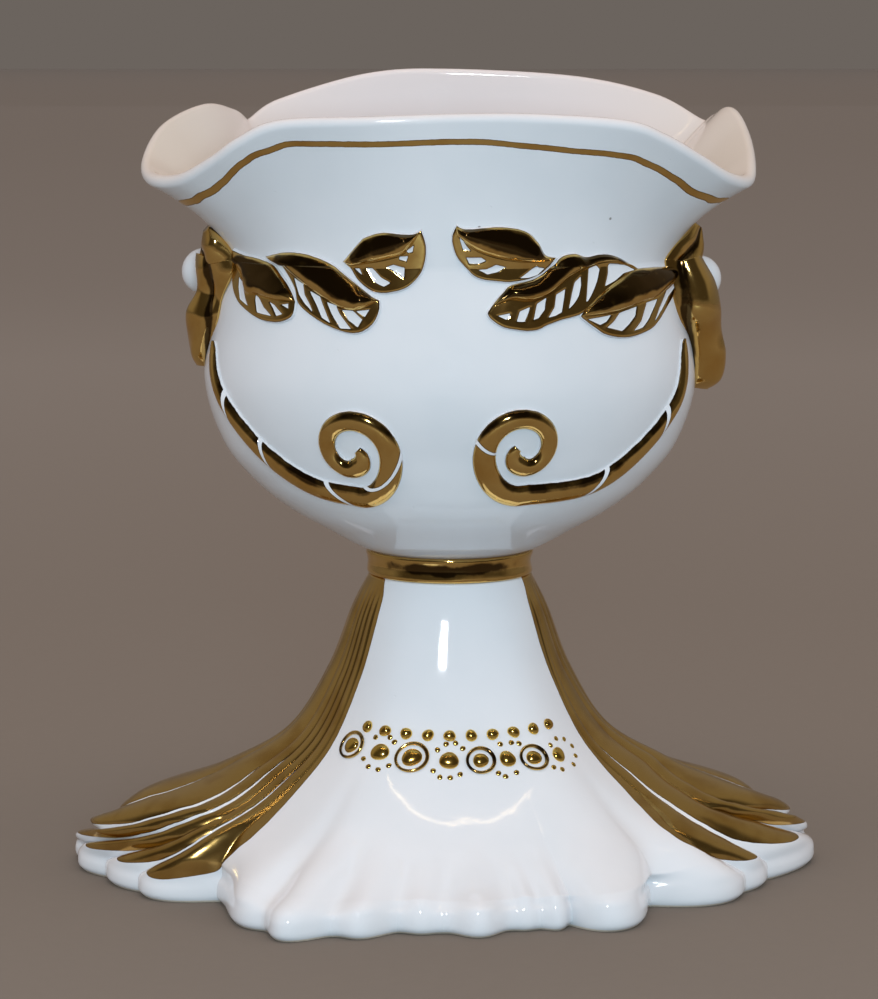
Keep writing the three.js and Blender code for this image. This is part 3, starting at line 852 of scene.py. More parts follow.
@dataclass(frozen=True)
class Decorated:
    """Glaze with gold painted on it where the mark named gilt, in millimetres, is positive.

    The brush's edge wobbles by a few tenths of a millimetre and is darker over its own width.
    The flags say whether the gold is a line, whether the marks of the hollow and its side lips
    paint warm shade into the glaze, whether clay shows under the foot, and whether the mark
    shade paints shade and dark reflection into the gold.
    """

    name: str
    glaze: Glaze = Glaze()
    lustre: Lustre = Lustre()
    wobble: float = 0.28
    edge_width: float = 0.32
    line: bool = False
    painted_shade_inside: bool = False
    bare_foot: bool = False
    shaded: bool = False
    clay: tuple = ((0.52, 0.43, 0.34, 1.0), (0.66, 0.58, 0.48, 1.0))

    def build(self) -> bpy.types.Material:
        """Builds the material: one surface whose colour, metal and gloss follow the mark.

        Returns:
            The material.
        """
        graph = Graph.of_material(self.name)
        wobble = (graph.noise(330.0, 2.0) - 0.5) * self.wobble
        if self.line:
            mark = graph.mark("half") - abs(graph.mark("offset"))
        else:
            mark = graph.mark("gilt")
        mark = mark + wobble
        gold = mark.step(-0.05, 0.05)
        white = self.glaze.colour(graph)
        # Painted warm shade: the glaze turns darker and warmer inside the hollow, darkest in the side lips.
        if self.painted_shade_inside:
            white = graph.tint(graph.mark("inside") * 0.85, white, self.glaze.cream)
            white = graph.tint(graph.mark("lip_shade") * 0.8, white, self.glaze.tan)
        edge = mark.step(self.edge_width, 0.08) * 0.8
        metal = self.lustre.colour(graph)
        # Painted shade and dark reflection in the gold, where the mark shade is high.
        if self.shaded:
            metal = self.lustre.shade_painted_gold(graph, metal)
        metal = graph.tint(edge, metal, self.lustre.edge)
        colour = graph.tint(gold, white, metal)
        rough = gold * (self.lustre.rough(graph) - self.glaze.roughness) + self.glaze.roughness
        if self.bare_foot:
            bare = graph.height().step(1.1 * MM, 0.5 * MM)
            clay = graph.tint(graph.noise(900.0, 3.0), *self.clay)
            colour = graph.tint(bare, colour, clay)
            rough = rough + bare * 0.8
            gold = gold * (1 - bare)
        bump = self.glaze.relief(graph) + gold * 0.02
        if self.shaded:
            bump = bump + graph.noise(85.0, 2.0) * 0.22
        surface = {"Base Color": colour, "Metallic": gold, "Roughness": rough, "IOR": GLAZE_IOR}
        return graph.finish(surface, bump)


@dataclass(frozen=True)
class WhiteBall:
    """Plain glaze for the balls behind the side locks."""

    name: str = "ball_glaze"
    glaze: Glaze = Glaze()

    def build(self) -> bpy.types.Material:
        """Builds the plain glaze.

        Returns:
            The material.
        """
        graph = Graph.of_material(self.name)
        surface = {
            "Base Color": self.glaze.colour(graph),
            "Roughness": self.glaze.roughness,
            "IOR": GLAZE_IOR,
        }
        return graph.finish(surface, self.glaze.relief(graph))


@dataclass(frozen=True)
class SolidGold:
    """Gold all over a piece, with faint brush streaks and pits, and painted shade where it is shaded."""

    name: str
    lustre: Lustre = Lustre()
    waves: float = 0.20
    shaded: bool = False

    def build(self) -> bpy.types.Material:
        """Builds the gold.

        Returns:
            The material.
        """
        graph = Graph.of_material(self.name)
        pits = graph.spots(330.0, (0.12, 0.05), (0.90, 0.92))
        metal = self.lustre.colour(graph)
        # Painted shade and dark reflection where the mark shade is high.
        if self.shaded:
            metal = self.lustre.shade_painted_gold(graph, metal)
        colour = graph.tint(pits * 0.7, metal, self.lustre.edge)
        relief = graph.noise(120.0, 2.0) * self.waves - pits * 0.04
        surface = {"Base Color": colour, "Metallic": 1.0, "Roughness": self.lustre.rough(graph)}
        return graph.finish(surface, relief)


# ---- pieces


@dataclass(frozen=True)
class HeadBowl:
    """The hollow head: bowl, flared brim with a rounded lip, and the gold line under the brim.

    The line is a table of degrees from the front and millimetres above the waist. The lip has
    a ring every few degrees round it.
    """

    around: int = 400
    outer_rows: tuple = (84, 52)
    inner_rows: int = 46
    wall: float = 5.0
    floor: float = 8.0
    floor_radius: float = 30.0
    fillet: float = 0.6
    hollow_from: float = 17.0
    spigot_radius: float = 24.7
    spigot_end: float = -17.5
    spigot_top: float = -0.2
    lip_step: int = 12
    line: tuple = (
        (-74, 20.6), (-66, 21.6), (-60, 24.0), (-53.1, 28.5), (-45, 36.4), (-39.3, 40.4),
        (-31.8, 43.0), (-18.5, 42.9), (2, 43.8), (15.8, 42.4), (27.3, 40.5), (37.9, 38.7),
        (43.9, 36.0), (52.6, 30.2), (64, 23.3), (70, 21.9), (74, 22.1),
    )
    half_line: float = 1.12
    line_fade: float = 5.0
    line_end: float = 0.2
    no_line: float = 60.0
    slant: float = 1.1

    def line_marks(self, angles: np.ndarray, climbs: np.ndarray) -> tuple[np.ndarray, np.ndarray]:
        """Distance from the middle of the gold line, and its half width, in millimetres.

        The line's height above the waist over the brim's own rise gives its share of the
        climb, and the slant its length for each millimetre of rise. The half width fades at
        both ends.

        Args:
            angles: Angles of the columns.
            climbs: Climbs of the rows.

        Returns:
            Distances (rows, columns) and half widths (columns).
        """
        place = signed(angles)
        height = eased(place, [(math.radians(a), up) for a, up in self.line])
        rise = HEAD.rim_point(angles)[:, 2] - HEAD.waist
        middle = HEAD.waist + HEAD.brim_span * height / rise
        offset = (climbs - middle) * rise / HEAD.brim_span * self.slant
        first, last = np.radians([self.line[0][0], self.line[-1][0]])
        left = np.minimum(place - first, last - place) * HEAD.waist_radius
        half = self.half_line * np.clip(left / self.line_fade, -1, 1) + self.line_end
        return offset, np.minimum(self.half_line, half)

    def build(self, bench: Bench, finish: bpy.types.Material) -> None:
        """Builds the head: rings up the outside, round the lip and down the inside.

        The lip is half a circle across the wall. Of the marks, inside is 0 on the outside, 1
        in the hollow and rises round the lip, and the mark of the side lips is that times the sine
        of the angle to the power four, so it is highest in the two side lips. Both place painted
        warm shade in the glaze.

        Args:
            bench: Where the vase stands.
            finish: The material.
        """
        angles = turns(self.around)
        bowl, brim = self.outer_rows
        climbs = np.concatenate([
            np.linspace(0, HEAD.waist, bowl)[:-1], np.linspace(HEAD.waist, HEAD.top, brim),
        ])[:, None]
        rim, normal, _, up = HEAD.frame(angles, np.full(self.around, HEAD.top))
        half = self.wall / 2
        lip = np.radians(np.arange(self.lip_step, 180, self.lip_step))[:, None, None]
        inner = np.linspace(HEAD.top, self.hollow_from, self.inner_rows)[:, None]
        rows = [
            polar(angles, self.spigot_radius, self.spigot_end)[None],
            polar(angles, self.spigot_radius, self.spigot_top)[None],
            HEAD.point(angles, climbs),
            rim + normal * half * (np.cos(lip) - 1) + up * (half - 0.03) * np.sin(lip),
            HEAD.lift(angles, inner, -self.wall + 0 * inner),
            polar(angles, self.floor_radius, self.floor + self.fillet)[None],
        ]
        offset, half_line = self.line_marks(angles, climbs)
        far = [np.full(r.shape[:2], self.no_line) for r in rows]
        ones = [np.ones(r.shape[:2]) for r in rows]
        share = np.linspace(0, 1, len(lip))[:, None]
        inside = np.concatenate([0 * r for r in ones[:3]] + [ones[3] * share] + ones[4:])
        # The marks inside and of the side lips place painted warm shade in the glaze.
        marks = {
            "offset": np.concatenate(far[:2] + [offset] + far[3:]),
            "half": half_line + 0 * inside,
            "inside": inside,
            "lip_shade": inside * np.sin(angles) ** 4,
        }
        rings = HEAD.place(np.concatenate(rows))
        start = HEAD.place([0, 0, self.spigot_end])
        end = HEAD.place([0, 0, self.floor])
        piece = bench.skin("head_bowl_glazed", rings, start, end, marks=marks)
        bench.settle(piece, finish, Slot.GLAZE, "head_bowl")


@dataclass(frozen=True)
class Lobe:
    """One lobe of the hem, from its first valley to that of the next lobe.

    The valley's angle from the front in degrees, how far it is pushed in, how far the lobe
    swells past the line of the valleys, how its fullest place leans, and how soft the valley is.
    """

    start: float
    inset: float
    swell: float
    lean: float = 1.0
    soft: float = 0.05


@dataclass(frozen=True)
class Columns:
    """Columns of points round the cape, as arrays over the columns.

    Each has its angle at the hem in degrees, its inset, how far up its lobe it stands, the
    lobe's swell, and 1 where the lobe is a gilded flute.
    """

    degrees: np.ndarray
    inset: np.ndarray
    rise: np.ndarray
    swell: np.ndarray
    fluted: np.ndarray


@dataclass(frozen=True)
class Wing:
    """The flutes of one wing and their gold: a border along the panel, then white lines.

    The fan gives how far open the flutes are down the slope, and the pull how many degrees
    those near its place lie further round. The border is a table of share down the slope and
    degrees from the front. A line has the angle of its valley at the hem, where it opens on
    the way down, its half width at three quarters of the way and near the hem. Each stripe
    has the share down the slope of its end.
    """

    side: int
    border: tuple
    lines: tuple
    last: float
    ends: tuple
    fan: tuple
    pull: tuple = ((0, 0), (1, 0))
    pull_at: float = 60.9
    pull_width: float = 13.0


@dataclass(frozen=True)
class Pedestal:
    """The cape: a white panel with soft folds, gilded flutes on the wings and a scalloped hem.

    The rounded edge is a table of how far it stands out of the hem's line and how high. A
    groove of the panel has its angle, the share down the slope where it starts, its depth and
    its half width in degrees. Each degree has so many columns in front, and fewer at the back.
    Where there is no gold the mark has one value on the slope and another on unseen rings.
    """

    bore: float = 25.0
    bore_low: float = 101.2
    wall: float = 6.5
    foot_width: float = 12.0
    foot_bevel: float = 0.8
    flute_depth: float = 2.8
    fold_depth: float = 1.5
    panel_edge: float = 56.0
    run: float = 150.0
    no_gold: float = -20.0
    unseen: float = -9.0
    gold_between: tuple = (40, 150)
    columns_each: tuple = (2.4, 1.4)
    columns_least: int = 14
    coarse_from: float = 126.0
    slope_from: float = 0.93
    under_rows: tuple = (0.2, 0.36, 0.52, 0.7, 0.88)
    edge: tuple = ((-1.5, 0), (0.3, 1.9), (0.5, 4.5), (-0.2, 7.4))
    edge_rows: int = 25
    crest: tuple = (0.975, -0.8, 1.6)
    lobes: tuple = (
        Lobe(-174, 0, 3), Lobe(-163, 0.5, 3), Lobe(-152, 2, 3), Lobe(-139, 1.5, 3), Lobe(-124, 2, 3),
        Lobe(-113, -0.5, 3.5), Lobe(-103, -2, 8), Lobe(-92.5, 1, 3), Lobe(-81.6, 2.5, 4),
        Lobe(-70.4, -1, 9), Lobe(-57, 12, 4.5, 2, 0.3), Lobe(-36, -3, 9, 1, 0.4),
        Lobe(-24.5, -3, 5.5, 1, 0.7), Lobe(-14, 2, 2, 1, 1), Lobe(-5.5, 0, 7.5, 1, 1), Lobe(8, 2, 1, 1, 1),
        Lobe(13, 3, 4, 1, 0.8), Lobe(19.8, 7.5, 13, 0.55, 0.6), Lobe(41.4, 18, 10, 1, 0.4),
        Lobe(60.9, -2.5, 2.5, 1, 0.1), Lobe(70.7, -1.5, 5), Lobe(92, -2, 6), Lobe(102, -3, 3.5),
        Lobe(113, -3, 3), Lobe(124, 0.5, 3), Lobe(139, 1, 3), Lobe(152, 2, 3), Lobe(163, 0.5, 3),
        Lobe(174, 0, 3),
    )
    grooves: tuple = (
        (-36, 0.45, 1.6, 3.0), (-24.5, 0.6, 0.8, 2.5), (44, 0.5, 1.6, 3.5), (19.8, 0.6, 0.8, 3.0),
    )
    wings: tuple = (
        Wing(
            -1,
            border=(
                (0, 56.5), (0.036, 55.5), (0.138, 53), (0.276, 53.4), (0.394, 54), (0.515, 54.2),
                (0.68, 53.6), (0.79, 52.4), (0.86, 53.8), (0.915, 55.8), (0.955, 57.2), (1, 58.2),
            ),
            lines=(
                (70.4, 0.57, 0.4, 0.9), (81.6, 0.8, 0.25, 0.5), (92.5, 0.55, 0.75, 1.2),
                (103, 0.62, 0.95, 1.2), (113, 0.69, 0.45, 0.6),
            ),
            last=124,
            ends=(1.0, 0.985, 0.985, 0.97, 0.955, 0.945),
            fan=(
                (0, 0.42), (0.55, 0.42), (0.68, 0.36), (0.77, 0.32), (0.82, 0.36), (0.87, 0.44),
                (0.91, 0.55), (0.95, 0.74), (1, 1),
            ),
        ),
        Wing(
            1,
            border=(
                (0, 57.5), (0.06, 56.8), (0.147, 55), (0.22, 54.8), (0.282, 55.4), (0.365, 56.6),
                (0.48, 57.4), (0.6, 55.8), (0.7, 53.2), (0.81, 50.4), (0.88, 52.2), (0.946, 58), (1, 62),
            ),
            lines=(
                (70.7, 0.53, 1.25, 1.7), (92, 0.9, 0.3, 0.9), (102, 0.79, 0.3, 0.6),
                (113, 0.68, 0.2, 0.35),
            ),
            last=124,
            ends=(0.97, 0.97, 0.965, 0.95, 0.94),
            fan=(
                (0, 0.42), (0.3, 0.50), (0.5, 0.66), (0.6, 0.64), (0.66, 0.54), (0.74, 0.43),
                (0.8, 0.39), (0.85, 0.45), (0.9, 0.60), (0.93, 0.69), (0.96, 0.80), (1, 1),
            ),
            pull=((0, 0), (0.64, 0), (0.74, 2.4), (0.826, 5.4), (0.9, 4.2), (0.96, 1.0), (1, 0)),
        ),
    )

    def columns(self) -> Columns:
        """Columns across every lobe, closest at its valleys.

        The share across a lobe is half of one less the cosine of an even step. The rise is
        the sine of the share to the power 0.7, and where a valley is soft the sine is first
        rounded off at its foot.

        Returns:
            The columns.
        """
        parts = []
        for lobe, after in zip(self.lobes, self.lobes[1:] + self.lobes[:1]):
            width = (after.start - lobe.start) % 360
            middle = abs(lobe.start + width / 2)
            fine, coarse = self.columns_each
            count = max(self.columns_least, int(width * (fine if middle < self.coarse_from else coarse)))
            share = (1 - np.cos(np.pi * np.arange(count) / count)) / 2
            soft = lobe.soft + (after.soft - lobe.soft) * share
            sine = np.clip(np.sin(np.pi * share**lobe.lean), 0, 1)
            rounded = (np.sqrt(sine**2 + soft**2) - soft) / (np.sqrt(1 + soft**2) - soft)
            fluted = self.panel_edge < middle < 180 - self.panel_edge
            inset = lobe.inset + (after.inset - lobe.inset) * share
            rise = rounded ** (0.7 + 0.5 * soft)
            parts.append((
                lobe.start + share * width, inset, rise, lobe.swell + 0 * share, fluted + 0.0 * share,
            ))
        return Columns(*(np.concatenate(column) for column in zip(*parts)))

    def fanned(self, degrees: np.ndarray, t: np.ndarray) -> np.ndarray:
        """Angle in degrees at a share down the slope of what meets the hem at an angle.

        Up the slope the flutes of a wing close up towards the panel by the fan's share, less
        so towards the back edge, and the pull shifts those next to the panel further round.

        Args:
            degrees: Angles at the hem.
            t: Shares down the slope.

        Returns:
            The angles.
        """
        past = np.abs(degrees) - self.panel_edge
        span = 180 - 2 * self.panel_edge
        share = np.clip(past / span, 0, 1) ** 7
        angle = degrees + 0 * t
        for wing in self.wings:
            crowd = eased(t, wing.fan)
            closed = wing.side * (self.panel_edge + past * (crowd + (1 - crowd) * share))
            on = (degrees * wing.side > self.panel_edge) & (past < span)
            away = np.abs(degrees * wing.side - wing.pull_at)
            near = np.clip(1 - away / wing.pull_width, 0, 1)
            shift = eased(t, wing.pull) * smooth(near, 0, 1)
            angle = np.where(on, closed, angle) - wing.side * shift
        return angle

    def hem_edge(self, columns: Columns) -> np.ndarray:
        """Plan radius of the lobed hem."""
        plan = CAPE.hem(np.radians(columns.degrees))
        return plan - columns.inset + columns.swell * columns.rise

    def surface(self, columns: Columns, t: np.ndarray, lift: float) -> tuple[np.ndarray, np.ndarray]:
        """Points of the lobed cape and their angles in degrees.

        A point stands off the slope by the lift and the height of its lobe, which grows down
        the slope, less the depth of a groove. The notches of the hem fade out up the slope
        with the cube of the share past half way.

        Args:
            columns: The columns.
            t: Shares down the slope, (rows, 1).
            lift: Height off the slope.

        Returns:
            Points and angles, by rows and columns.
        """
        degrees = self.fanned(columns.degrees, t)
        grown = 0.16 * smooth(t, 0.02, 0.2) + 0.2 * smooth(t, 0.4, 0.65) + 0.64 * smooth(t, 0.72, 1)
        flute = self.flute_depth * grown
        fold = self.fold_depth * smooth(t, 0.7, 1)
        height = lift + columns.rise * np.where(columns.fluted > 0, flute, fold)
        if lift == 0:
            for middle, start, depth, width in self.grooves:
                deep = smooth(t, start, 0.85) * (1 - smooth(t, 0.9, 1))
                height = height - depth * bell(columns.degrees, middle, width) * deep
        out = self.hem_edge(columns) - CAPE.hem(np.radians(columns.degrees))
        spread = out * np.maximum(2 * t - 1, 0) ** 3
        points = CAPE.point(np.radians(degrees), t, height)
        return points + polar(np.radians(degrees), spread, 0 * degrees), degrees

    def gilt(self, columns: Columns, t: np.ndarray, degrees: np.ndarray) -> np.ndarray:
        """Distance in millimetres inside the gold of the flutes, negative on white.

        It is the least of three: the distance past the wing's border, the distance from the
        nearest white line less its half width, and the distance inside the half round end of
        the stripe.

        Args:
            columns: The columns.
            t: Shares down the slope, (rows, 1).
            degrees: Angles of the points.

        Returns:
            The distances, by rows and columns.
        """
        each = CAPE.slope(np.radians(degrees), t)[..., 0] * np.pi / 180
        inside = np.full(degrees.shape, self.no_gold)
        first_seen, last_seen = self.gold_between
        for wing in self.wings:
            at_hem = columns.degrees * wing.side + 0 * degrees
            seen = degrees * wing.side
            border = (seen - eased(t, wing.border)) * each
            back = (wing.last - at_hem) * each
            bounds = [self.panel_edge] + [line[0] for line in wing.lines] + [wing.last]
            stripes = np.full(degrees.shape, self.no_gold)
            for i, end in enumerate(wing.ends):
                low = np.abs(self.fanned(wing.side * np.array([bounds[i]]), t))
                high = np.abs(self.fanned(wing.side * np.array([bounds[i + 1]]), t))
                first = border if i == 0 else (seen - low) * each - self.opened(wing.lines[i - 1], t)
                final = i == len(wing.ends) - 1
                second = back if final else (high - seen) * each - self.opened(wing.lines[i], t)
                across = (first - second) / 2
                half = np.maximum((first + second) / 2, 0.01)
                past = (t - end) * self.run + half
                tip = half - np.hypot(across, past)
                stripe = np.minimum(np.minimum(first, second), np.where(past > 0, tip, np.inf))
                stripes = np.maximum(stripes, stripe)
            inside = np.where((seen > first_seen) & (seen < last_seen), stripes, inside)
        return inside

    @staticmethod
    def opened(line: tuple, t: np.ndarray) -> np.ndarray:
        """Half width of a white line, in millimetres, negative above where it opens.

        It is read off a table: none at the line's start, its last width at 0.95 of the slope
        and its other one half way between the two.

        Args:
            line: The line, as in a wing.
            t: Shares down the slope.

        Returns:
            The half widths.
        """
        _, start, middle, low = line
        stops = ((0, -3), (start - 0.03, -0.8), (start, 0.0), ((start + 0.95) / 2, middle), (0.95, low))
        return np.interp(t, *np.transpose(stops))

    def rim(self, columns: Columns, slope: np.ndarray) -> np.ndarray:
        """Rings round the hem's edge, up to where the slope begins.

        They follow the smooth curve through the table of the edge, a crest just under the
        slope and kept inside the hem, and two points of the slope. The last of these only
        bends it.

        Args:
            columns: The columns.
            slope: Rings of the slope, from the hem up.

        Returns:
            The rings.
        """
        angle = np.radians(columns.degrees)
        hem = self.hem_edge(columns)
        controls = [polar(angle, hem + out, up + 0 * hem) for out, up in self.edge]
        t, lift, back = self.crest
        crest = self.surface(columns, np.array([[t]]), lift)[0][0]
        reach = np.minimum(1, (hem - back) / np.hypot(crest[:, 0], crest[:, 1]))
        controls.append(crest * np.stack([reach, reach, 0 * reach + 1], -1))
        share = len(controls) / (len(controls) + 1)
        shares = np.linspace(0, share, self.edge_rows + 1)[:-1]
        return spline(controls + [slope[0], slope[2]], shares)

    def build(self, bench: Bench, finish: bpy.types.Material) -> None:
        """Builds the pedestal as one loop of rings: up the outside and down through the bore.

        Args:
            bench: Where the vase stands.
            finish: The material.
        """
        columns = self.columns()
        low, high = np.linspace(self.slope_from, 0.62, 40)[:-1], np.linspace(0.62, 0, 42)
        t = np.concatenate([low, high])[:, None]
        slope, degrees = self.surface(columns, t, 0.0)
        angle = np.radians(columns.degrees)
        foot = self.hem_edge(columns) - self.foot_width
        rows = [
            polar(angle, self.bore, CAPE.height)[None],
            polar(angle, self.bore, self.bore_low)[None],
            self.surface(columns, np.array(self.under_rows)[:, None], -self.wall)[0],
            polar(angle, foot, self.foot_bevel)[None],
            polar(angle, foot, 0.0)[None],
            self.rim(columns, slope),
            slope,
        ]
        edge_t = np.interp(np.arange(self.edge_rows), (0, 16, 24), (1.06, 1.0, 0.935))[:, None]
        edge_degrees = self.fanned(columns.degrees, np.minimum(edge_t, 1))
        gilt = [np.full(r.shape[:2], self.unseen) for r in rows[:-2]]
        gilt += [self.gilt(columns, edge_t, edge_degrees), self.gilt(columns, t, degrees)]
        marks = {"gilt": np.concatenate(gilt)}
        piece = bench.skin("pedestal_glazed", np.concatenate(rows), loop=True, marks=marks)
        bench.settle(piece, finish, Slot.GLAZE, "pedestal")


@dataclass(frozen=True)
class NeckCollar:
    """The gold band at the neck: a lathe profile whose bulge wanders a little round it.

    The profile is a table of how far it lies inside the outer radius and how high it is. The
    streak is a painted dark reflection along the band: its height, half width and angle, and
    how far round it runs at full strength.
    """

    inner: float = 25.0
    outer: float = 31.0
    height: float = 9.5
    joint: float = 0.3
    rows: int = 26
    around: int = 240
    profile: tuple = ((1.0, 0.3), (0.35, 1.3), (0.85, 4.6), (0.5, 6.6), (0.05, 8.1), (0.5, 9.2))
    streak: tuple = (4.6, 2.7, -0.1, 0.75)

    def build(self, bench: Bench, finish: bpy.types.Material) -> None:
        """Builds the band: the profile turned round, with slow waves on its outside.

        Args:
            bench: Where the vase stands.
            finish: The material.
        """
        profile = evenly([(self.outer - back, up) for back, up in self.profile], self.rows)
        angle = turns(self.around)
        wave = 0.22 * np.sin(3 * angle + 0.6) + 0.16 * np.sin(7 * angle)
        bulge = np.sin(np.pi * profile[:, 1:] / self.height)
        outside = polar(angle, profile[:, :1] + wave * bulge, profile[:, 1:] + 0 * angle)
        inside = np.stack([
            polar(angle, self.inner, self.height - self.joint), polar(angle, self.inner, self.joint),
        ])
        rings = np.concatenate([outside, inside]) + np.array([0, 0, CAPE.height])
        # Painted dark reflection: a streak along the band, strongest round the front.
        middle, width, side, run = self.streak
        strength = 0.35 + 0.6 * bell(signed(angle), side, run, power=4)
        middle = middle + 0.9 * np.sin(2.5 * angle + 0.4)
        shade = bell(outside[..., 2], middle, width) * strength
        marks = {"shade": np.concatenate([shade, np.zeros(inside.shape[:2])])}
        piece = bench.skin("neck_collar_gold", rings, loop=True, marks=marks)
        bench.settle(piece, finish, Slot.LUSTRE, "neck_collar")


@dataclass(frozen=True)
class Leaf:
    """A gilded leaf in relief: a swelling upper lobe over a lower one with veins and openings.

    Each edge runs from the stem to the tip in degrees and climb, and so does the fold between
    the lobes. An opening is a corner list of a patch left white between two veins.
    """

    name: str
    node: str
    upper: tuple
    fold: tuple
    lower: tuple
    openings: tuple = ()
    crown: float = 2.6
    thick: float = 1.1
    bank: float = 1.1
    dish: float = 0.8
    carved: float = 0.35
    margin: float = 0.35
    seat: float = 0.12
    sunk: float = 0.3
    along: int = 150
    across: int = 34

    def flat(self, spots: np.ndarray) -> np.ndarray:
        """Degrees and climb as millimetres on the unrolled surface round the leaf.

        Args:
            spots: Degrees and climbs, (..., 2).

        Returns:
            Millimetres, (..., 2).
        """
        middle = np.mean(np.asarray(self.fold, float), axis=0)
        each = HEAD.across(math.radians(middle[0]), middle[1]) * np.pi / 180
        return np.asarray(spots, float) * np.array([each, 1.0])

    def relief(self, flat: np.ndarray, inside: np.ndarray) -> tuple[np.ndarray, np.ndarray]:
        """Height of the leaf and its gilt mark, in millimetres.

        The rim rises as a quarter round over the bank. On it stand the upper lobe, the sine of
        its share to the power 0.65, and the lower one, the share from its edge to the power
        1.5. Both are lower where their lobe is narrow. The openings are carved a little.

        Args:
            flat: Spots on the unrolled surface, (along, across, 2).
            inside: Distance of each from the leaf's outline.

        Returns:
            Height and mark, each (along, across).
        """
        v = np.linspace(-1, 1, flat.shape[1])
        middle = flat[:, self.across]
        upper = np.linalg.norm(flat[:, -1] - middle, axis=-1)[:, None]
        lower = np.linalg.norm(flat[:, 0] - middle, axis=-1)[:, None]
        bank = np.clip(inside / self.bank, 0, 1)
        rim = self.thick * np.sqrt(np.clip(1 - (1 - bank) ** 2, 0, 1))
        swell = self.crown * np.clip(upper / 7, 0, 1) * np.sin(np.pi * np.clip(v, 0, 1) ** 0.65) ** 0.8
        slope = self.dish * np.clip(lower / 8, 0, 1) * np.clip(1 + v, 0, 1) ** 1.5 * (v < 0)
        height = rim + bank * (swell + slope)
        mark = inside - self.margin
        for corners in self.openings:
            away = outside_polygon(flat, self.flat(corners))
            mark = np.minimum(mark, away)
            height = height - self.carved * smooth(-away, -0.5, 0.5)
        return height, mark

    def build(self, bench: Bench, finish: bpy.types.Material) -> None:
        """Builds the leaf: rings across it from stem to tip, over the top and back beneath.

        The mark shade paints dark reflection on the upper lobe, which faces up, less towards its edge, stem
        and tip.

        Args:
            bench: Where the vase stands.
            finish: The material.
        """
        upper, fold, lower = (evenly(c, self.along) for c in (self.upper, self.fold, self.lower))
        v = np.linspace(-1, 1, 2 * self.across + 1)
        reach = np.where(v[:, None] < 0, lower[:, None], upper[:, None])
        spots = fold[:, None] + (reach - fold[:, None]) * np.abs(v)[:, None]
        flat = self.flat(spots)
        edges = [self.flat(evenly(edge, 60)) for edge in (self.upper, self.lower)]
        outline = np.concatenate([edges[0], edges[1][::-1][1:-1]])
        height, mark = self.relief(flat, -outside_polygon(flat, outline))
        angle = np.radians(spots[..., 0])
        top = HEAD.lift(angle, spots[..., 1], height + self.seat)
        under = HEAD.lift(angle, spots[..., 1], -self.sunk + 0 * height)
        rings = np.concatenate([top, under[:, ::-1]], axis=1)
        u = np.linspace(0, 1, self.along)[:, None]
        # Painted dark reflection on the upper lobe.
        shade = smooth(v, 0.02, 0.32) * (1 - 0.75 * smooth(v, 0.8, 1)) * smooth(u, 0.02, 0.2)
        shade = 0.78 * shade * (1 - 0.45 * smooth(u, 0.82, 1))
        marks = {
            "gilt": np.concatenate([mark, mark * 0 - 1], axis=1),
            "shade": np.concatenate([shade, shade[:, ::-1]], axis=1),
        }
        n = self.along
        if np.cross(flat[n // 2, -1] - flat[n // 2, 0], flat[-1, 0] - flat[0, 0]) > 0:
            rings, marks = rings[::-1], {key: mark[::-1] for key, mark in marks.items()}
        bench.settle(sprig(bench, self.name, rings, marks), finish, Slot.LUSTRE, self.node)


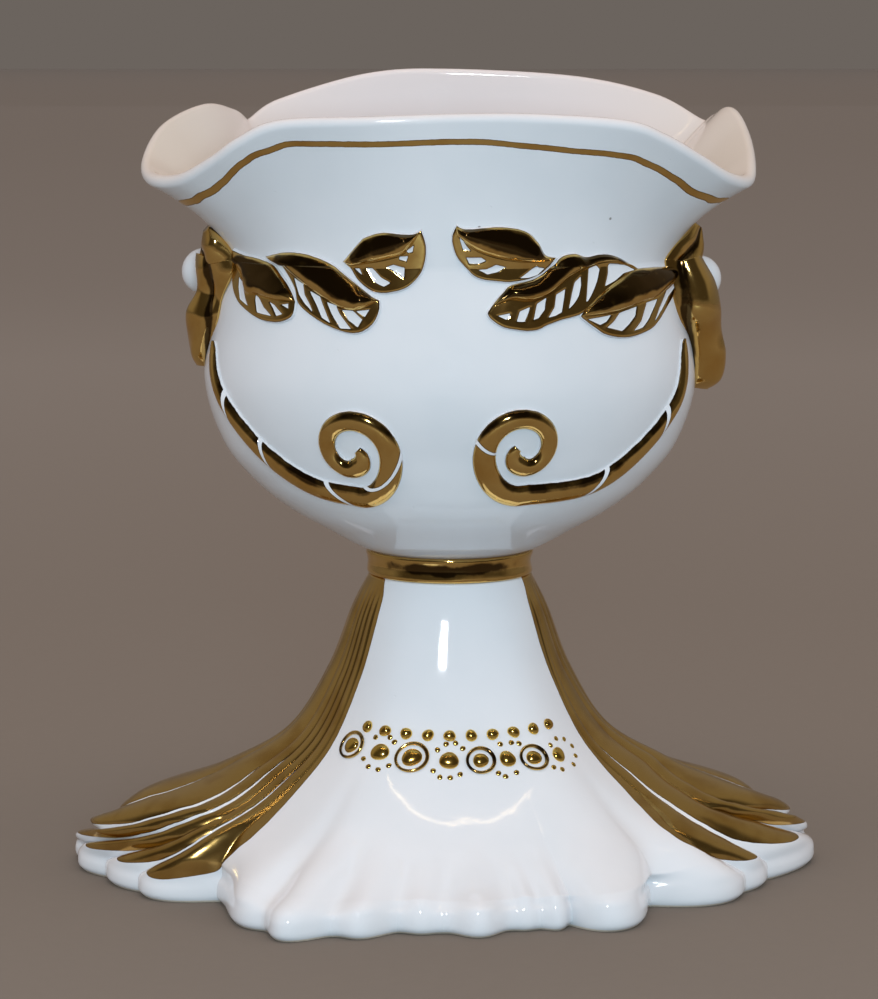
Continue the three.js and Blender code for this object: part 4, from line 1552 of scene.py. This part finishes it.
LEAVES = (
    Leaf(
        "leaf_left_inner", "leaf_left_1",
        upper=(
            (-27.1, 109.5), (-22.5, 117.4), (-20.7, 119.7), (-16.3, 121.6), (-9.6, 120.8), (-6.9, 122.7),
        ),
        fold=(
            (-27.1, 109.5), (-24, 108.3), (-20, 109.6), (-15.9, 110.9), (-11.9, 112.7), (-9.9, 115.6),
            (-6.9, 122.7),
        ),
        lower=(
            (-27.1, 109.5), (-25, 106.6), (-22.6, 102.4), (-18.9, 98.9), (-15.4, 98.2), (-11.1, 99.6),
            (-8.2, 102.8), (-6.4, 107.4), (-5.7, 115.5), (-6.9, 122.7),
        ),
        openings=(
            ((-23.6, 106.7), (-22.4, 106.8), (-21.4, 104.3)),
            ((-20.6, 107.1), (-19.1, 107), (-16.8, 103.8), (-14.3, 101.9), (-15.9, 100.6), (-18, 101.9)),
            ((-15.6, 107.7), (-13.8, 108.7), (-11.1, 107.5), (-11.1, 103.6), (-13.4, 105.7)),
            ((-12.2, 111.9), (-10.2, 112.2), (-10.6, 110.1), (-12.3, 110.9)),
            ((-10.5, 114.2), (-8.8, 116.3), (-9.1, 113.8), (-10.1, 113.5)),
        ),
    ),
    Leaf(
        "leaf_left_middle", "leaf_left_2",
        upper=(
            (-52, 112), (-44.5, 113.9), (-37.1, 112.6), (-30.8, 109.3), (-27.5, 106), (-22.3, 101.2),
            (-18.7, 97.6), (-16.6, 96.2),
        ),
        fold=(
            (-52, 112), (-45.6, 107.3), (-40.7, 103.3), (-34.9, 99), (-29.4, 95.1), (-25.6, 92.8),
            (-21.6, 92.5), (-16.6, 96.2),
        ),
        lower=(
            (-52, 112), (-45, 105.5), (-40.5, 99.5), (-38.4, 94), (-33.7, 89.6), (-28.5, 86.2),
            (-24.3, 84.5), (-20.8, 84.6), (-17.8, 87.7), (-16.4, 92.5), (-16.6, 96.2),
        ),
        openings=(
            (
                (-40.3, 102.6), (-37.2, 100.7), (-36.4, 97.1), (-34.4, 93.5), (-33.6, 91.3), (-36, 94),
                (-38.2, 97),
            ),
            ((-34.9, 98.4), (-31.8, 96.6), (-30.9, 94.1), (-28.5, 87.8), (-30.8, 89.5), (-32.5, 93.6)),
            ((-29.8, 94.9), (-27.3, 93.8), (-26.2, 91.1), (-23.1, 86), (-25.8, 86.1), (-28.3, 91)),
            ((-25.6, 92.3), (-22.9, 92.2), (-20.5, 89.3), (-21.5, 86.6), (-22.6, 87.8), (-23.8, 88.9)),
            ((-22, 92), (-18.9, 92.7), (-19.9, 90.1)),
        ),
        crown=3.0,
    ),
    Leaf(
        "leaf_left_outer", "leaf_left_3",
        upper=(
            (-67.1, 117), (-61, 113.5), (-55.7, 111.5), (-50.1, 108.3), (-44.2, 102.6), (-41.2, 99),
            (-38.9, 94.8),
        ),
        fold=(
            (-67.1, 117), (-66.1, 106.5), (-61.2, 102.2), (-57.2, 96.2), (-53, 96.2), (-47.4, 95),
            (-43.2, 94.6), (-38.9, 94.8),
        ),
        lower=(
            (-67.1, 117), (-69.2, 107), (-67.2, 99.5), (-62.4, 93.8), (-56.8, 90.4), (-50.8, 87.7),
            (-45.6, 86.8), (-41.7, 87.5), (-39.2, 89.8), (-38.9, 94.8),
        ),
        openings=(
            ((-62.3, 101.4), (-59.7, 99.9), (-57.4, 94.8), (-55.6, 91.9), (-60, 94), (-61.8, 98.2)),
            ((-52.5, 95.9), (-51.1, 95), (-49.1, 92.1), (-45.9, 89.1), (-51.4, 90), (-52.6, 94.2)),
            ((-47, 93.9), (-45.2, 92.9), (-42.5, 90), (-44.3, 89.3), (-45.7, 91.9)),
            ((-42.9, 93.2), (-41, 93.7), (-40.8, 92)),
        ),
    ),
    Leaf(
        "leaf_right_inner", "leaf_right_1",
        upper=(
            (26.5, 111.3), (23.4, 112.4), (21.6, 116.8), (19.2, 120.7), (16.6, 122.5), (12.4, 123.5),
            (8.3, 123.3), (4.8, 122.8), (2.6, 123.1), (1.3, 124.4),
        ),
        fold=(
            (26.5, 111.3), (23.1, 109.8), (19, 109.7), (14.7, 110.3), (10.6, 111.7), (6.6, 113.9),
            (3.5, 117), (1.5, 120), (1.3, 124.4),
        ),
        lower=(
            (26.5, 111.3), (23.5, 106), (19.3, 103), (14.1, 101.9), (11.5, 102.2), (7.4, 103),
            (5, 104.7), (3.2, 107.8), (1.2, 111.8), (0.2, 116.7), (0.2, 120.5), (1.3, 124.4),
        ),
        openings=(
            ((2, 119.5), (2.5, 118.9), (3.7, 115.9), (4.7, 114.2), (2.9, 114.5)),
            ((3.7, 111.5), (7.2, 111.5), (8.3, 110.3), (6.6, 109.1), (4.4, 109.2)),
            ((6.6, 106.5), (8.6, 106.8), (10.8, 108.7), (13.1, 107.7), (11.4, 105.8), (8.7, 104.9)),
            (
                (16.6, 103.5), (18.9, 105.7), (21, 107.9), (21.6, 107.2), (23, 106.7), (21.1, 104.5),
                (18.7, 103.6),
            ),
        ),
    ),
    Leaf(
        "leaf_right_middle", "leaf_right_2",
        upper=(
            (54, 104.5), (50.5, 107.2), (46.2, 110.5), (42.8, 112.2), (39.1, 112.6), (34.6, 111.5),
            (31.3, 112.9), (27.6, 111.8), (25, 108), (20.6, 103.8), (14.1, 101.4), (12.3, 99.2),
            (10.2, 96), (8.3, 92.4),
        ),
        fold=(
            (54, 104.5), (48.6, 106.9), (45.2, 108.9), (41.2, 109.4), (37.6, 108.6), (35, 106.8),
            (32.5, 105.3), (28.7, 102.8), (24.7, 98.9), (22.4, 97.1), (19.3, 95.8), (17.1, 95.8),
            (14.5, 96.3), (12.1, 95.4), (9.3, 93.6), (8.3, 92.4),
        ),
        lower=(
            (54, 104.5), (47, 100.5), (42.6, 98.6), (37.9, 95.4), (33.5, 91.8), (30.5, 90), (25.9, 88.6),
            (22.2, 86.9), (20.5, 85.7), (17.6, 85.2), (14.5, 85.8), (11.8, 86.7), (9.3, 89.1),
            (8.2, 91.2), (8.3, 92.4),
        ),
        openings=(
            ((10.7, 90.8), (13.5, 91.6), (13.6, 90.7), (12.7, 89.4)),
            ((15.1, 88.8), (15.9, 92.2), (18.4, 93.6), (17.8, 91.3), (16.9, 88.6)),
            ((19.1, 89.2), (20.1, 94.6), (22.5, 96.5), (21.9, 92.6), (20.3, 89.8)),
            ((22.8, 89.9), (24.5, 93.3), (25.2, 97.6), (27.7, 99.3), (26.3, 91.6), (24.7, 90.5)),
            (
                (28.2, 92.6), (29.4, 97.7), (30.5, 101.5), (32.4, 103.5), (32.2, 100.3), (31.2, 96.8),
                (29.7, 94.2),
            ),
            (
                (33.2, 94.9), (34.1, 100.2), (35, 106), (37.5, 107.6), (38.4, 105.6), (37, 101.2),
                (35, 97.2), (33.6, 94.9),
            ),
            (
                (41.5, 108.3), (44.9, 108), (50.8, 104.9), (46.5, 104), (42.9, 101.5), (39.5, 99.9),
                (41, 104.3),
            ),
        ),
        crown=2.8,
    ),
    Leaf(
        "leaf_right_outer", "leaf_right_3",
        upper=(
            (80, 104.5), (72, 105), (67.1, 105.2), (59.5, 105.6), (50.9, 105.4), (46.5, 103.6),
            (39.4, 99.2), (33, 93.2), (31, 90),
        ),
        fold=(
            (80, 104.5), (71.9, 100.4), (63.7, 97.4), (57.5, 94.8), (52.6, 93.8), (48.5, 92.8),
            (42.9, 91.2), (39.5, 90.5), (34.6, 90.1), (31, 90),
        ),
        lower=(
            (80, 104.5), (76.5, 98), (70.5, 95.5), (64.7, 92.2), (60.7, 89.2), (57.6, 86.6), (54, 84.1),
            (49.4, 82.5), (45.1, 81.6), (40.9, 81.9), (37.1, 83.4), (33.7, 86.7), (31.6, 89), (31, 90),
        ),
        openings=(
            ((33.1, 88.8), (39.5, 89.8), (38.2, 87.8), (36.3, 86.7)),
            (
                (38.3, 85.7), (40.3, 87.6), (42.3, 90.4), (48.4, 92.2), (47.5, 88.9), (45.2, 86.4),
                (42.7, 84.2),
            ),
            ((46.7, 84), (49.6, 87), (52.5, 93.3), (57.4, 94.1), (55.4, 91.4), (52.3, 87.1), (49.9, 84.8)),
            ((63.3, 96.7), (71.6, 99.4), (70.9, 98), (64, 94.7), (58.9, 90.2), (55.2, 86.7), (58, 91)),
        ),
        crown=2.8,
    ),
)


@dataclass(frozen=True)
class JawScroll:
    """A roll of clay down the jaw that winds into a volute, gilded between slanting white slits.

    The run is in degrees and climb. A slit is its length along the roll in millimetres, where
    it leaves the inner edge, how far on it meets the outer edge, and its half width. The knob
    is a swelling near the end: where it is, how wide and by what share.
    """

    name: str
    node: str
    side: int
    centre: tuple
    run: tuple
    slits: tuple
    start_radius: float = 16.5
    end_radius: float = 2.6
    sweep: float = 470.0
    width: float = 8.6
    height: float = 3.2
    knob: tuple = (0.965, 0.03, 0.3)
    seat: float = 0.1
    sunk: float = 0.6
    margin: float = 0.12
    along: int = 420
    across: int = 30

    def path(self) -> tuple[np.ndarray, np.ndarray]:
        """Angles and climbs at equal steps: the run, then a volute whose radius shrinks.

        Returns:
            Angles and climbs.
        """
        degrees, climb = self.centre
        reach = HEAD.across(math.radians(degrees), climb)
        run = [(math.radians(a - degrees) * reach, c - climb) for a, c in self.run]
        share = np.linspace(0, 1, 25)
        radius = self.start_radius + (self.end_radius - self.start_radius) * share
        turn = np.radians(-90 - self.side * self.sweep * share)
        coil = np.stack([radius * np.cos(turn), radius * np.sin(turn)], -1)
        lead = evenly(np.concatenate([run, coil[:1]]), 20)
        flat = evenly(np.concatenate([lead[:-1], coil]), self.along)
        return math.radians(degrees) + flat[:, 0] / reach, climb + flat[:, 1]

    def section(self, u: np.ndarray) -> tuple[np.ndarray, np.ndarray]:
        """Half width and height of the roll in millimetres, at shares of its length.

        It widens over the first four tenths, narrows over the last four, is pinched by a
        square root at both ends and swells at the knob.

        Args:
            u: Shares of the length.

        Returns:
            Half widths and heights.
        """
        middle, width, more = self.knob
        knob = 1 + more * bell(u, middle, width)
        half = self.width / 2 * (0.62 + 0.38 * smooth(u, 0, 0.4)) * (1 - 0.32 * smooth(u, 0.6, 1))
        end = np.minimum(np.minimum(0.05 + 30 * u, 0.3 + 22 * (1 - u)), 1)
        rise = np.minimum(1, np.minimum(0.45 + 4 * u, 0.5 + 7 * (1 - u)))
        return half * np.sqrt(end) * knob, self.height * rise * knob

    def gilt(self, length: np.ndarray, half: np.ndarray, out: np.ndarray) -> np.ndarray:
        """Distance in millimetres inside the gold, from the roll's edges and the white slits.

        A slit crosses on a slant, so the distance along the roll is divided by the hypotenuse
        of one and the slant for each millimetre across.

        Args:
            length: Length along the roll, (along, 1).
            half: Its half width there.
            out: Place across it, from -1 to 1.

        Returns:
            The distances, (along, across).
        """
        mark = (1 - np.abs(out)) * half * 1.2 - self.margin
        for at, slant, width in self.slits:
            centre = at + slant * (1 + out * self.side) / 2
            lean = np.hypot(1, slant / (2 * np.maximum(half, 1)))
            mark = np.minimum(mark, np.abs(length - centre) / lean - width)
        return mark

    def build(self, bench: Bench, finish: bpy.types.Material) -> None:
        """Builds the roll: a half-round section carried along the path on the surface.

        A point lies aside by the sine of its angle round the section and off the surface by
        the cosine. The mark shade paints dark reflection where the roll faces up, but not on its edge.

        Args:
            bench: Where the vase stands.
            finish: The material.
        """
        angle, climb = self.path()
        point, normal, _, _ = HEAD.frame(angle, climb)
        along = unit(np.gradient(point, axis=0))
        aside = unit(np.cross(normal, along))
        half, height = self.section(np.linspace(0, 1, self.along)[:, None])
        phi = np.linspace(-np.pi / 2, np.pi / 2, self.across)
        out, rise = np.sin(phi)[None], np.cos(phi)[None]
        sideways = aside[:, None] * (out * half)[..., None]
        top = point[:, None] + sideways + normal[:, None] * (rise * height + self.seat)[..., None]
        under = point[:, None] + sideways - normal[:, None] * self.sunk
        rings = np.concatenate([top, under[:, ::-1]], axis=1)[::-1]
        steps = np.linalg.norm(np.diff(point, axis=0), axis=1)
        length = np.concatenate([[0], np.cumsum(steps)])[:, None]
        mark = self.gilt(length, half, out)
        # Painted dark reflection where the roll faces up.
        upward = aside[:, 2:] * out
        shade = 0.62 * smooth(upward, 0.12, 0.5) * (1 - 0.6 * smooth(upward, 0.88, 1))
        marks = {
            "gilt": np.concatenate([mark, mark * 0 - 1], axis=1)[::-1],
            "shade": np.concatenate([shade, shade[:, ::-1]], axis=1)[::-1],
        }
        bench.settle(sprig(bench, self.name, rings, marks), finish, Slot.LUSTRE, self.node)


SCROLLS = (
    JawScroll(
        "jaw_scroll_left_gilt", "jaw_scroll_left", -1, (-24, 43),
        ((-72.5, 78), (-69, 68), (-63, 57), (-51, 40), (-39, 29.5)),
        slits=((22, 12, 0.6), (45, 11, 0.6), (76, 12, 0.6), (93, 20, 0.5)),
    ),
    JawScroll(
        "jaw_scroll_right_gilt", "jaw_scroll_right", 1, (17.4, 44),
        ((70, 79), (67, 68.5), (63, 57.5), (52, 41), (40, 30)),
        slits=((28, 12, 0.6), (61, 13, 0.6), (121, 3, 0.5)),
    ),
)


@dataclass(frozen=True)
class SideLock:
    """A gilded lock that hangs from under the brim, drawn as a twisted ribbon.

    Each station is an angle, a climb, half the width across the head and how proud it stands.
    """

    name: str
    node: str
    stations: tuple
    twist: float
    fold: float = 3.2
    fold_middle: float = 0.64
    ripple: float = 0.5
    flat_back: tuple = (0.4, -2.0)
    along: int = 220
    around: int = 72

    def build(self, bench: Bench, finish: bpy.types.Material) -> None:
        """Builds the lock: rounded sections with folds that wind round it on the way down.

        The fold is the size of the sine of one and a half times the angle, turned by the
        twist, less its middle value, with a fine ripple. It fades at both ends with the root
        of a sine. The back is flattened. The mark shade paints shade in the creases.

        Args:
            bench: Where the vase stands.
            finish: The material.
        """
        table = spline(self.stations, np.linspace(0, 1, self.along))
        degrees, climb, half, proud = (table[:, k] for k in range(4))
        point, normal, _, up = HEAD.frame(np.radians(degrees), climb)
        side = unit(np.cross(up, normal))
        phi = turns(self.around)
        u = np.linspace(0, 1, self.along)[:, None]
        crease = np.abs(np.sin(1.5 * phi + self.twist * u / 2)) - self.fold_middle
        fold = self.fold * crease + self.ripple * np.sin(5 * phi - 9 * u)
        fold = fold * np.sin(np.pi * u) ** 0.5
        out = (half[:, None] + fold) * np.cos(phi)
        lift = (proud[:, None] + fold) * np.sin(phi)
        share, least = self.flat_back
        lift = np.where(np.sin(phi) < 0, np.maximum(lift * share, least), lift)
        rings = point[:, None] + side[:, None] * out[..., None] + normal[:, None] * lift[..., None]
        # Painted shade: dark in the creases, and a little everywhere.
        marks = {"shade": 0.75 * smooth(-crease, 0.1, 0.6) + 0.2}
        bench.settle(sprig(bench, self.name, rings, marks), finish, Slot.LUSTRE, self.node)


LOCKS = (
    SideLock(
        "side_lock_left_gold", "side_lock_left",
        (
            (-77, 131, 5, 3), (-78, 125, 9, 7), (-79, 118, 11, 9), (-80, 110, 12.5, 10.5),
            (-80.5, 102, 13, 10), (-82, 94, 10.5, 6.5), (-82.5, 86, 12, 8.5), (-85, 78, 10, 7),
            (-87, 71.5, 8, 5.5), (-88, 67.5, 3.5, 3),
        ),
        twist=8.0,
    ),
    SideLock(
        "side_lock_right_gold", "side_lock_right",
        (
            (83, 131, 4, 4), (82, 124, 7, 7.5), (81, 116, 9.5, 9), (80, 106, 12.5, 9.5), (80, 96, 13.5, 12),
            (80.5, 87, 13, 12), (84, 79, 10.5, 10.5), (86, 71, 10, 11), (87, 63.5, 8, 9.5),
            (88, 59.5, 3.5, 5),
        ),
        twist=-5.0,
    ),
)


@dataclass(frozen=True)
class Pearls:
    """The white balls behind the side locks."""

    radius: float = 8.6
    places: tuple = (("pearl_left", -99, 99), ("pearl_right", 98, 96.5))
    proud: float = 0.92

    def build(self, bench: Bench, finish: bpy.types.Material) -> None:
        """Builds each ball: rings of latitude about its centre, which stands off the head.

        Args:
            bench: Where the vase stands.
            finish: The material.
        """
        tilt = np.linspace(0, np.pi, 42)[1:-1, None]
        ring = polar(turns(80), self.radius * np.sin(tilt), -self.radius * np.cos(tilt))
        pole = np.array([0, 0, self.radius])
        for name, degrees, climb in self.places:
            centre = HEAD.lift(math.radians(degrees), climb, self.proud * self.radius)
            ends = [HEAD.place(centre - pole), HEAD.place(centre + pole)]
            ball = bench.skin(name + "_glazed", HEAD.place(ring + centre), *ends)
            bench.settle(ball, finish, Slot.GLAZE, name)


@dataclass(frozen=True)
class Necklace:
    """Gold beads in two rows, rings round every second lower one, and a scatter of small dots.

    A lower bead has its degrees, share down the slope, radius and whether it is ringed. A dot
    has its degrees and share. The upper row hangs down by a share plus a sine's sag.
    """

    height: float = 1.5
    tube: float = 0.75
    gap: float = 1.2
    seat: float = 0.1
    sunk: float = 0.5
    ring_seat: float = 0.35
    upper: int = 10
    upper_radius: float = 2.2
    upper_arc: float = 78.0
    upper_down: tuple = (0.432, 0.011)
    dot: tuple = (1.0, 0.35)
    lower: tuple = (
        (-43.5, 0.48, 3.1, True), (-30, 0.484, 3.4, False), (-18, 0.492, 3.5, True),
        (-4.5, 0.498, 3.4, False), (7, 0.499, 2.8, True), (16.8, 0.498, 3, False),
        (26.4, 0.5, 2.8, True), (37, 0.503, 2.9, False),
    )
    dots: tuple = (
        (-33.6, 0.452), (-27.7, 0.449), (-25.5, 0.459), (-35.5, 0.504), (-32.4, 0.52), (-28.6, 0.524),
        (-25.4, 0.513), (-8.9, 0.474), (-5.7, 0.461), (-2, 0.459), (0.7, 0.471), (-10, 0.521),
        (-7.6, 0.535), (-4.1, 0.536), (-0.7, 0.529), (15.3, 0.464), (19.7, 0.462), (22.6, 0.465),
        (12.5, 0.529), (14.6, 0.537), (18.6, 0.53), (39.9, 0.467), (35.4, 0.478), (44.6, 0.474),
        (47.3, 0.495), (45.7, 0.519), (41.6, 0.535), (35.1, 0.537), (32.2, 0.528),
    )

    def bead(
        self, bench: Bench, name: str, degrees: float, t: float, radius: float, height: float
    ) -> bpy.types.Object:
        """A dome on the cape, a little out of round, whose rise is a quarter of a circle.

        Args:
            bench: Where the vase stands.
            name: Name of the piece.
            degrees: Its angle from the front.
            t: Its share down the slope.
            radius: Radius of its foot.
            height: Its rise.

        Returns:
            The bead.
        """
        at = CAPE.spot(degrees, t)
        turn = turns(40)
        uneven = 1 + 0.045 * np.sin(2 * turn + degrees) + 0.03 * np.sin(3 * turn + 2 * degrees)
        s = np.linspace(0, 1, 12)[:-1, None]
        out = radius * uneven * np.cos(s * np.pi / 2) ** 0.9
        lift = self.seat + height * np.sin(s * np.pi / 2) ** 1.15 + 0 * out
        dome = at(out * np.cos(turn), out * np.sin(turn), lift)
        skirt = at(out[:1] * np.cos(turn), out[:1] * np.sin(turn), -self.sunk + 0 * out[:1])
        ends = [at(0.0, 0.0, -self.sunk), at(0.0, 0.0, height + self.seat)]
        return bench.skin(name, np.concatenate([skirt, dome]), *ends)

    def ring(self, bench: Bench, name: str, degrees: float, t: float, radius: float) -> bpy.types.Object:
        """A thin cord of clay laid in a circle on the cape, thicker on one side.

        Args:
            bench: Where the vase stands.
            name: Name of the piece.
            degrees: Its angle from the front.
            t: Its share down the slope.
            radius: Radius of its middle line.

        Returns:
            The ring.
        """
        at = CAPE.spot(degrees, t)
        turn, phi = turns(96), turns(14)[:, None]
        tube = self.tube * (0.85 + 0.15 * np.sin(turn + degrees))
        uneven = radius * (1 + 0.02 * np.sin(2 * turn + degrees))
        out = uneven + tube * np.cos(phi)
        lift = self.ring_seat + tube * np.sin(phi)
        rings = at(out * np.cos(turn), out * np.sin(turn), lift)
        # Painted shade in patches that wander round the ring.
        marks = {"shade": 0.5 + 0.15 * np.sin(turn * 2 + degrees) + 0 * phi}
        return bench.skin(name, rings[::-1], loop=True, marks=marks)

    def build(self, bench: Bench, finish: bpy.types.Material, shade_painted_gold: bpy.types.Material) -> None:
        """Builds all beads and rings, and the dots as one piece.

        Args:
            bench: Where the vase stands.
            finish: Material of beads and dots.
            shade_painted_gold: Material of the rings, gold with painted shade.
        """
        down, sag = self.upper_down
        for i in range(self.upper):
            share = i / (self.upper - 1)
            place = (self.upper_arc * (share - 0.5), down + sag * math.sin(math.pi * share))
            node = f"upper_bead_{i + 1:02d}"
            piece = self.bead(bench, node + "_gold", *place, self.upper_radius, self.height)
            bench.settle(piece, finish, Slot.LUSTRE, node)
        for i, (degrees, t, radius, ringed) in enumerate(self.lower):
            node = f"lower_bead_{i + 1:02d}"
            piece = self.bead(bench, node + "_gold", degrees, t, radius, self.height)
            bench.settle(piece, finish, Slot.LUSTRE, node)
            if ringed:
                node = f"necklace_ring_{i + 1:02d}"
                loop = self.ring(bench, node + "_gold", degrees, t, radius + self.gap + self.tube)
                bench.settle(loop, shade_painted_gold, Slot.LUSTRE, node)
        small = [self.bead(bench, f"dot_{i}", *place, *self.dot) for i, place in enumerate(self.dots)]
        bench.settle(bench.join("necklace_dots", small), finish, Slot.LUSTRE)


# ---- studio


@dataclass(frozen=True)
class Lamp:
    """A softbox that faces the vase: its place, width and height, power and colour.

    A lamp that glints is mirrored in the glaze and the gold, and one that lights brightens
    what is not a mirror. All face the middle of the vase.
    """

    name: str
    place: tuple
    size: tuple
    power: float
    colour: tuple
    glints: bool = False
    lights: bool = True
    middle: float = 0.12

    def build(self) -> None:
        """Builds the lamp."""
        light = bpy.data.lights.new(self.name, "AREA")
        light.shape = "RECTANGLE"
        light.size, light.size_y = self.size
        light.energy = self.power
        light.color = self.colour
        lamp = bpy.data.objects.new(self.name, light)
        lamp.location = self.place
        aim = np.array([0, 0, self.middle]) - np.array(self.place)
        yaw = math.atan2(aim[1], aim[0]) - math.pi / 2
        tilt = math.atan2(math.hypot(aim[0], aim[1]), -aim[2])
        lamp.rotation_euler = (tilt, 0, yaw)
        lamp.visible_glossy = self.glints
        lamp.visible_diffuse = self.lights
        lamp.visible_camera = False
        bpy.context.scene.collection.objects.link(lamp)


@dataclass(frozen=True)
class Studio:
    """Floor, lamps, the room round them and the camera."""

    distance: float = 1.2
    eye: float = 0.3
    turn: float = math.radians(-4)
    pitch: float = math.radians(7.7603)
    sideways: float = -0.0041
    lens: float = 118.13
    floor_radii: tuple = (200, 600, 2000, 8000, 60000)
    floor_thick: float = 5.0
    far_from: float = 1000.0
    paper: tuple = (0.197, 0.172, 0.149, 1.0)
    # Lighter paper far away: painted light.
    far_paper_painted_light: tuple = (0.236, 0.210, 0.188, 1.0)
    horizon: tuple = (0.147, 0.127, 0.112, 1.0)
    wall: tuple = (0.22, 0.19, 0.155, 1.0)
    dark: tuple = (0.05, 0.041, 0.03, 1.0)
    dome_low: tuple = (0.66, 0.74, 0.82, 1.0)
    dome_high: tuple = (0.82, 0.69, 0.62, 1.0)
    lamps: tuple = (
        Lamp("front_softbox", (-0.03, -1.55, 0.38), (0.3, 0.3), 11.6, (0.60, 0.86, 1.0)),
        Lamp("top_softbox", (0.0, -0.5, 2.0), (1.2, 1.2), 4.3, (1.0, 0.69, 0.56)),
        Lamp("left_softbox", (-1.7, -0.6, 1.0), (1.2, 1.2), 3.4, (1.0, 0.95, 0.92)),
        Lamp("right_softbox", (1.7, -0.5, 1.0), (1.2, 1.2), 3.4, (1.0, 0.95, 0.92)),
        Lamp("back_softbox", (0.0, 1.9, 1.7), (1.2, 1.2), 3.2, (0.92, 0.97, 1.0)),
        Lamp("flash", (-0.42, -2.97, 1.95), (0.34, 0.34), 36.0, (0.95, 0.98, 1.0), True, False),
        Lamp("ceiling_strip", (0.0, -0.5, 1.8), (1.1, 0.02), 0.75, (1.0, 0.74, 0.42), True),
    )

    def build(self, bench: Bench) -> None:
        """Builds the studio.

        Args:
            bench: Where the vase stands.
        """
        self.floor(bench)
        self.room()
        for lamp in self.lamps:
            lamp.build()
        self.camera(bench)
        bpy.context.scene.view_settings.view_transform = "Standard"

    def floor(self, bench: Bench) -> None:
        """A wide plain disc of pale paper under the vase, with painted light that makes it a little lighter
        far away.

        Args:
            bench: Where the vase stands.
        """
        turn = turns(96)
        radius = np.array(self.floor_radii, float)[:, None]
        top, low = polar(turn, radius[::-1], 0.0), polar(turn, radius, -self.floor_thick)
        # Painted light: the paper is lighter beyond a metre away.
        away = np.concatenate([radius, radius[::-1]]) > self.far_from
        marks = {"away": away + 0.0 * turn}
        ends = [(0, 0, -self.floor_thick), (0, 0, 0)]
        disc = bench.skin("floor", np.concatenate([low, top]), *ends, marks=marks)
        graph = Graph.of_material("floor_paper")
        grain = graph.noise(160.0, 3.0)
        r, g, b, _ = self.paper
        shade = (r * 0.96, g * 0.96, b * 0.96, 1.0)
        paper = graph.tint(graph.mark("away"), graph.tint(grain, self.paper, shade), self.far_paper_painted_light)
        surface = {"Base Color": paper, "Roughness": 0.9, "Specular IOR Level": 0.1}
        disc.data.materials.append(graph.finish(surface, graph.noise(700.0, 2.0) * 0.03))

    def room(self) -> None:
        """The room: an even dome for soft light, and what the gloss and the camera see.

        Those see paper at the horizon that turns to a darker wall higher up, and to a dark
        room on the camera's side.
        """
        world = bpy.data.worlds.new("room")
        bpy.context.scene.world = world
        graph = Graph(world)
        spot = graph.field(graph.node("TexCoord"), "Generated")
        split = graph.node("SeparateXYZ", None, {"Vector": spot})
        back, high = graph.field(split, 1), graph.field(split, 2)
        room = graph.tint(high.step(0.04, 0.3), self.horizon, self.wall)
        far = back.step(0.15, -0.3) * high.step(0.01, 0.14)
        room = graph.tint(far, room, self.dark)
        dome = graph.tint(high.step(-0.1, 0.9), self.dome_low, self.dome_high)
        soft = graph.field(graph.node("LightPath"), "Is Diffuse Ray")
        shine = graph.node("Background", None, {"Color": graph.tint(soft, room, dome)})
        output = graph.node("OutputWorld")
        graph.tree.links.new(shine.outputs[0], output.inputs[0])

    def camera(self, bench: Bench) -> None:
        """Camera at the photograph's place: a little above, looking down at the vase.

        Args:
            bench: Where the vase stands.
        """
        view = bpy.data.cameras.new("camera")
        view.lens = self.lens
        view.sensor_width = 36.0
        view.clip_end = 200.0
        eye = bpy.data.objects.new("camera", view)
        forward = np.array([-math.sin(self.turn), math.cos(self.turn), 0])
        right = np.array([math.cos(self.turn), math.sin(self.turn), 0])
        place = bench.axis * MM - forward * self.distance + right * self.sideways
        eye.location = (place[0], place[1], self.eye)
        eye.rotation_euler = (math.pi / 2 - self.pitch, 0, self.turn)
        bpy.context.scene.collection.objects.link(eye)
        bpy.context.scene.camera = eye


def main() -> None:
    """Builds the vase on its frame, piece by piece, then the studio."""
    logging.basicConfig(level=logging.INFO, format="%(name)s %(message)s")
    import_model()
    bench = Bench.under("neck_collar")
    # A lighter, yellower copy of the gold for beads and dots: painted glint.
    gold = SolidGold("bead_gold_painted_glint", Lustre((0.95, 0.66, 0.16, 1.0), roughness=0.16)).build()
    # Gold with painted shade and dark reflection where the mark shade is high: collar, locks and rings.
    shade_painted_gold = SolidGold("gold_lustre_painted_shade", shaded=True).build()
    # Glaze and gold for the leaves and scrolls, with painted dark reflection in the gold where the mark
    # shade is high.
    relief = Decorated("gilded_relief", wobble=0.22, shaded=True).build()
    head_finish = Decorated("head_glaze", line=True, painted_shade_inside=True, wobble=0.35).build()
    HeadBowl().build(bench, head_finish)
    # A darker, redder copy of the gold for the cape's flutes, with softer gloss: painted shade.
    soft = Lustre((0.74, 0.51, 0.175, 1.0), (0.50, 0.285, 0.065, 1.0), roughness=0.2)
    cape_finish = Decorated("cape_glaze", lustre=soft, bare_foot=True).build()
    Pedestal().build(bench, cape_finish)
    NeckCollar().build(bench, shade_painted_gold)
    for leaf in LEAVES:
        leaf.build(bench, relief)
    for scroll in SCROLLS:
        scroll.build(bench, relief)
    for lock in LOCKS:
        lock.build(bench, shade_painted_gold)
    Pearls().build(bench, WhiteBall().build())
    Necklace().build(bench, gold, shade_painted_gold)
    Studio().build(bench)


if __name__ == "__main__":
    main()
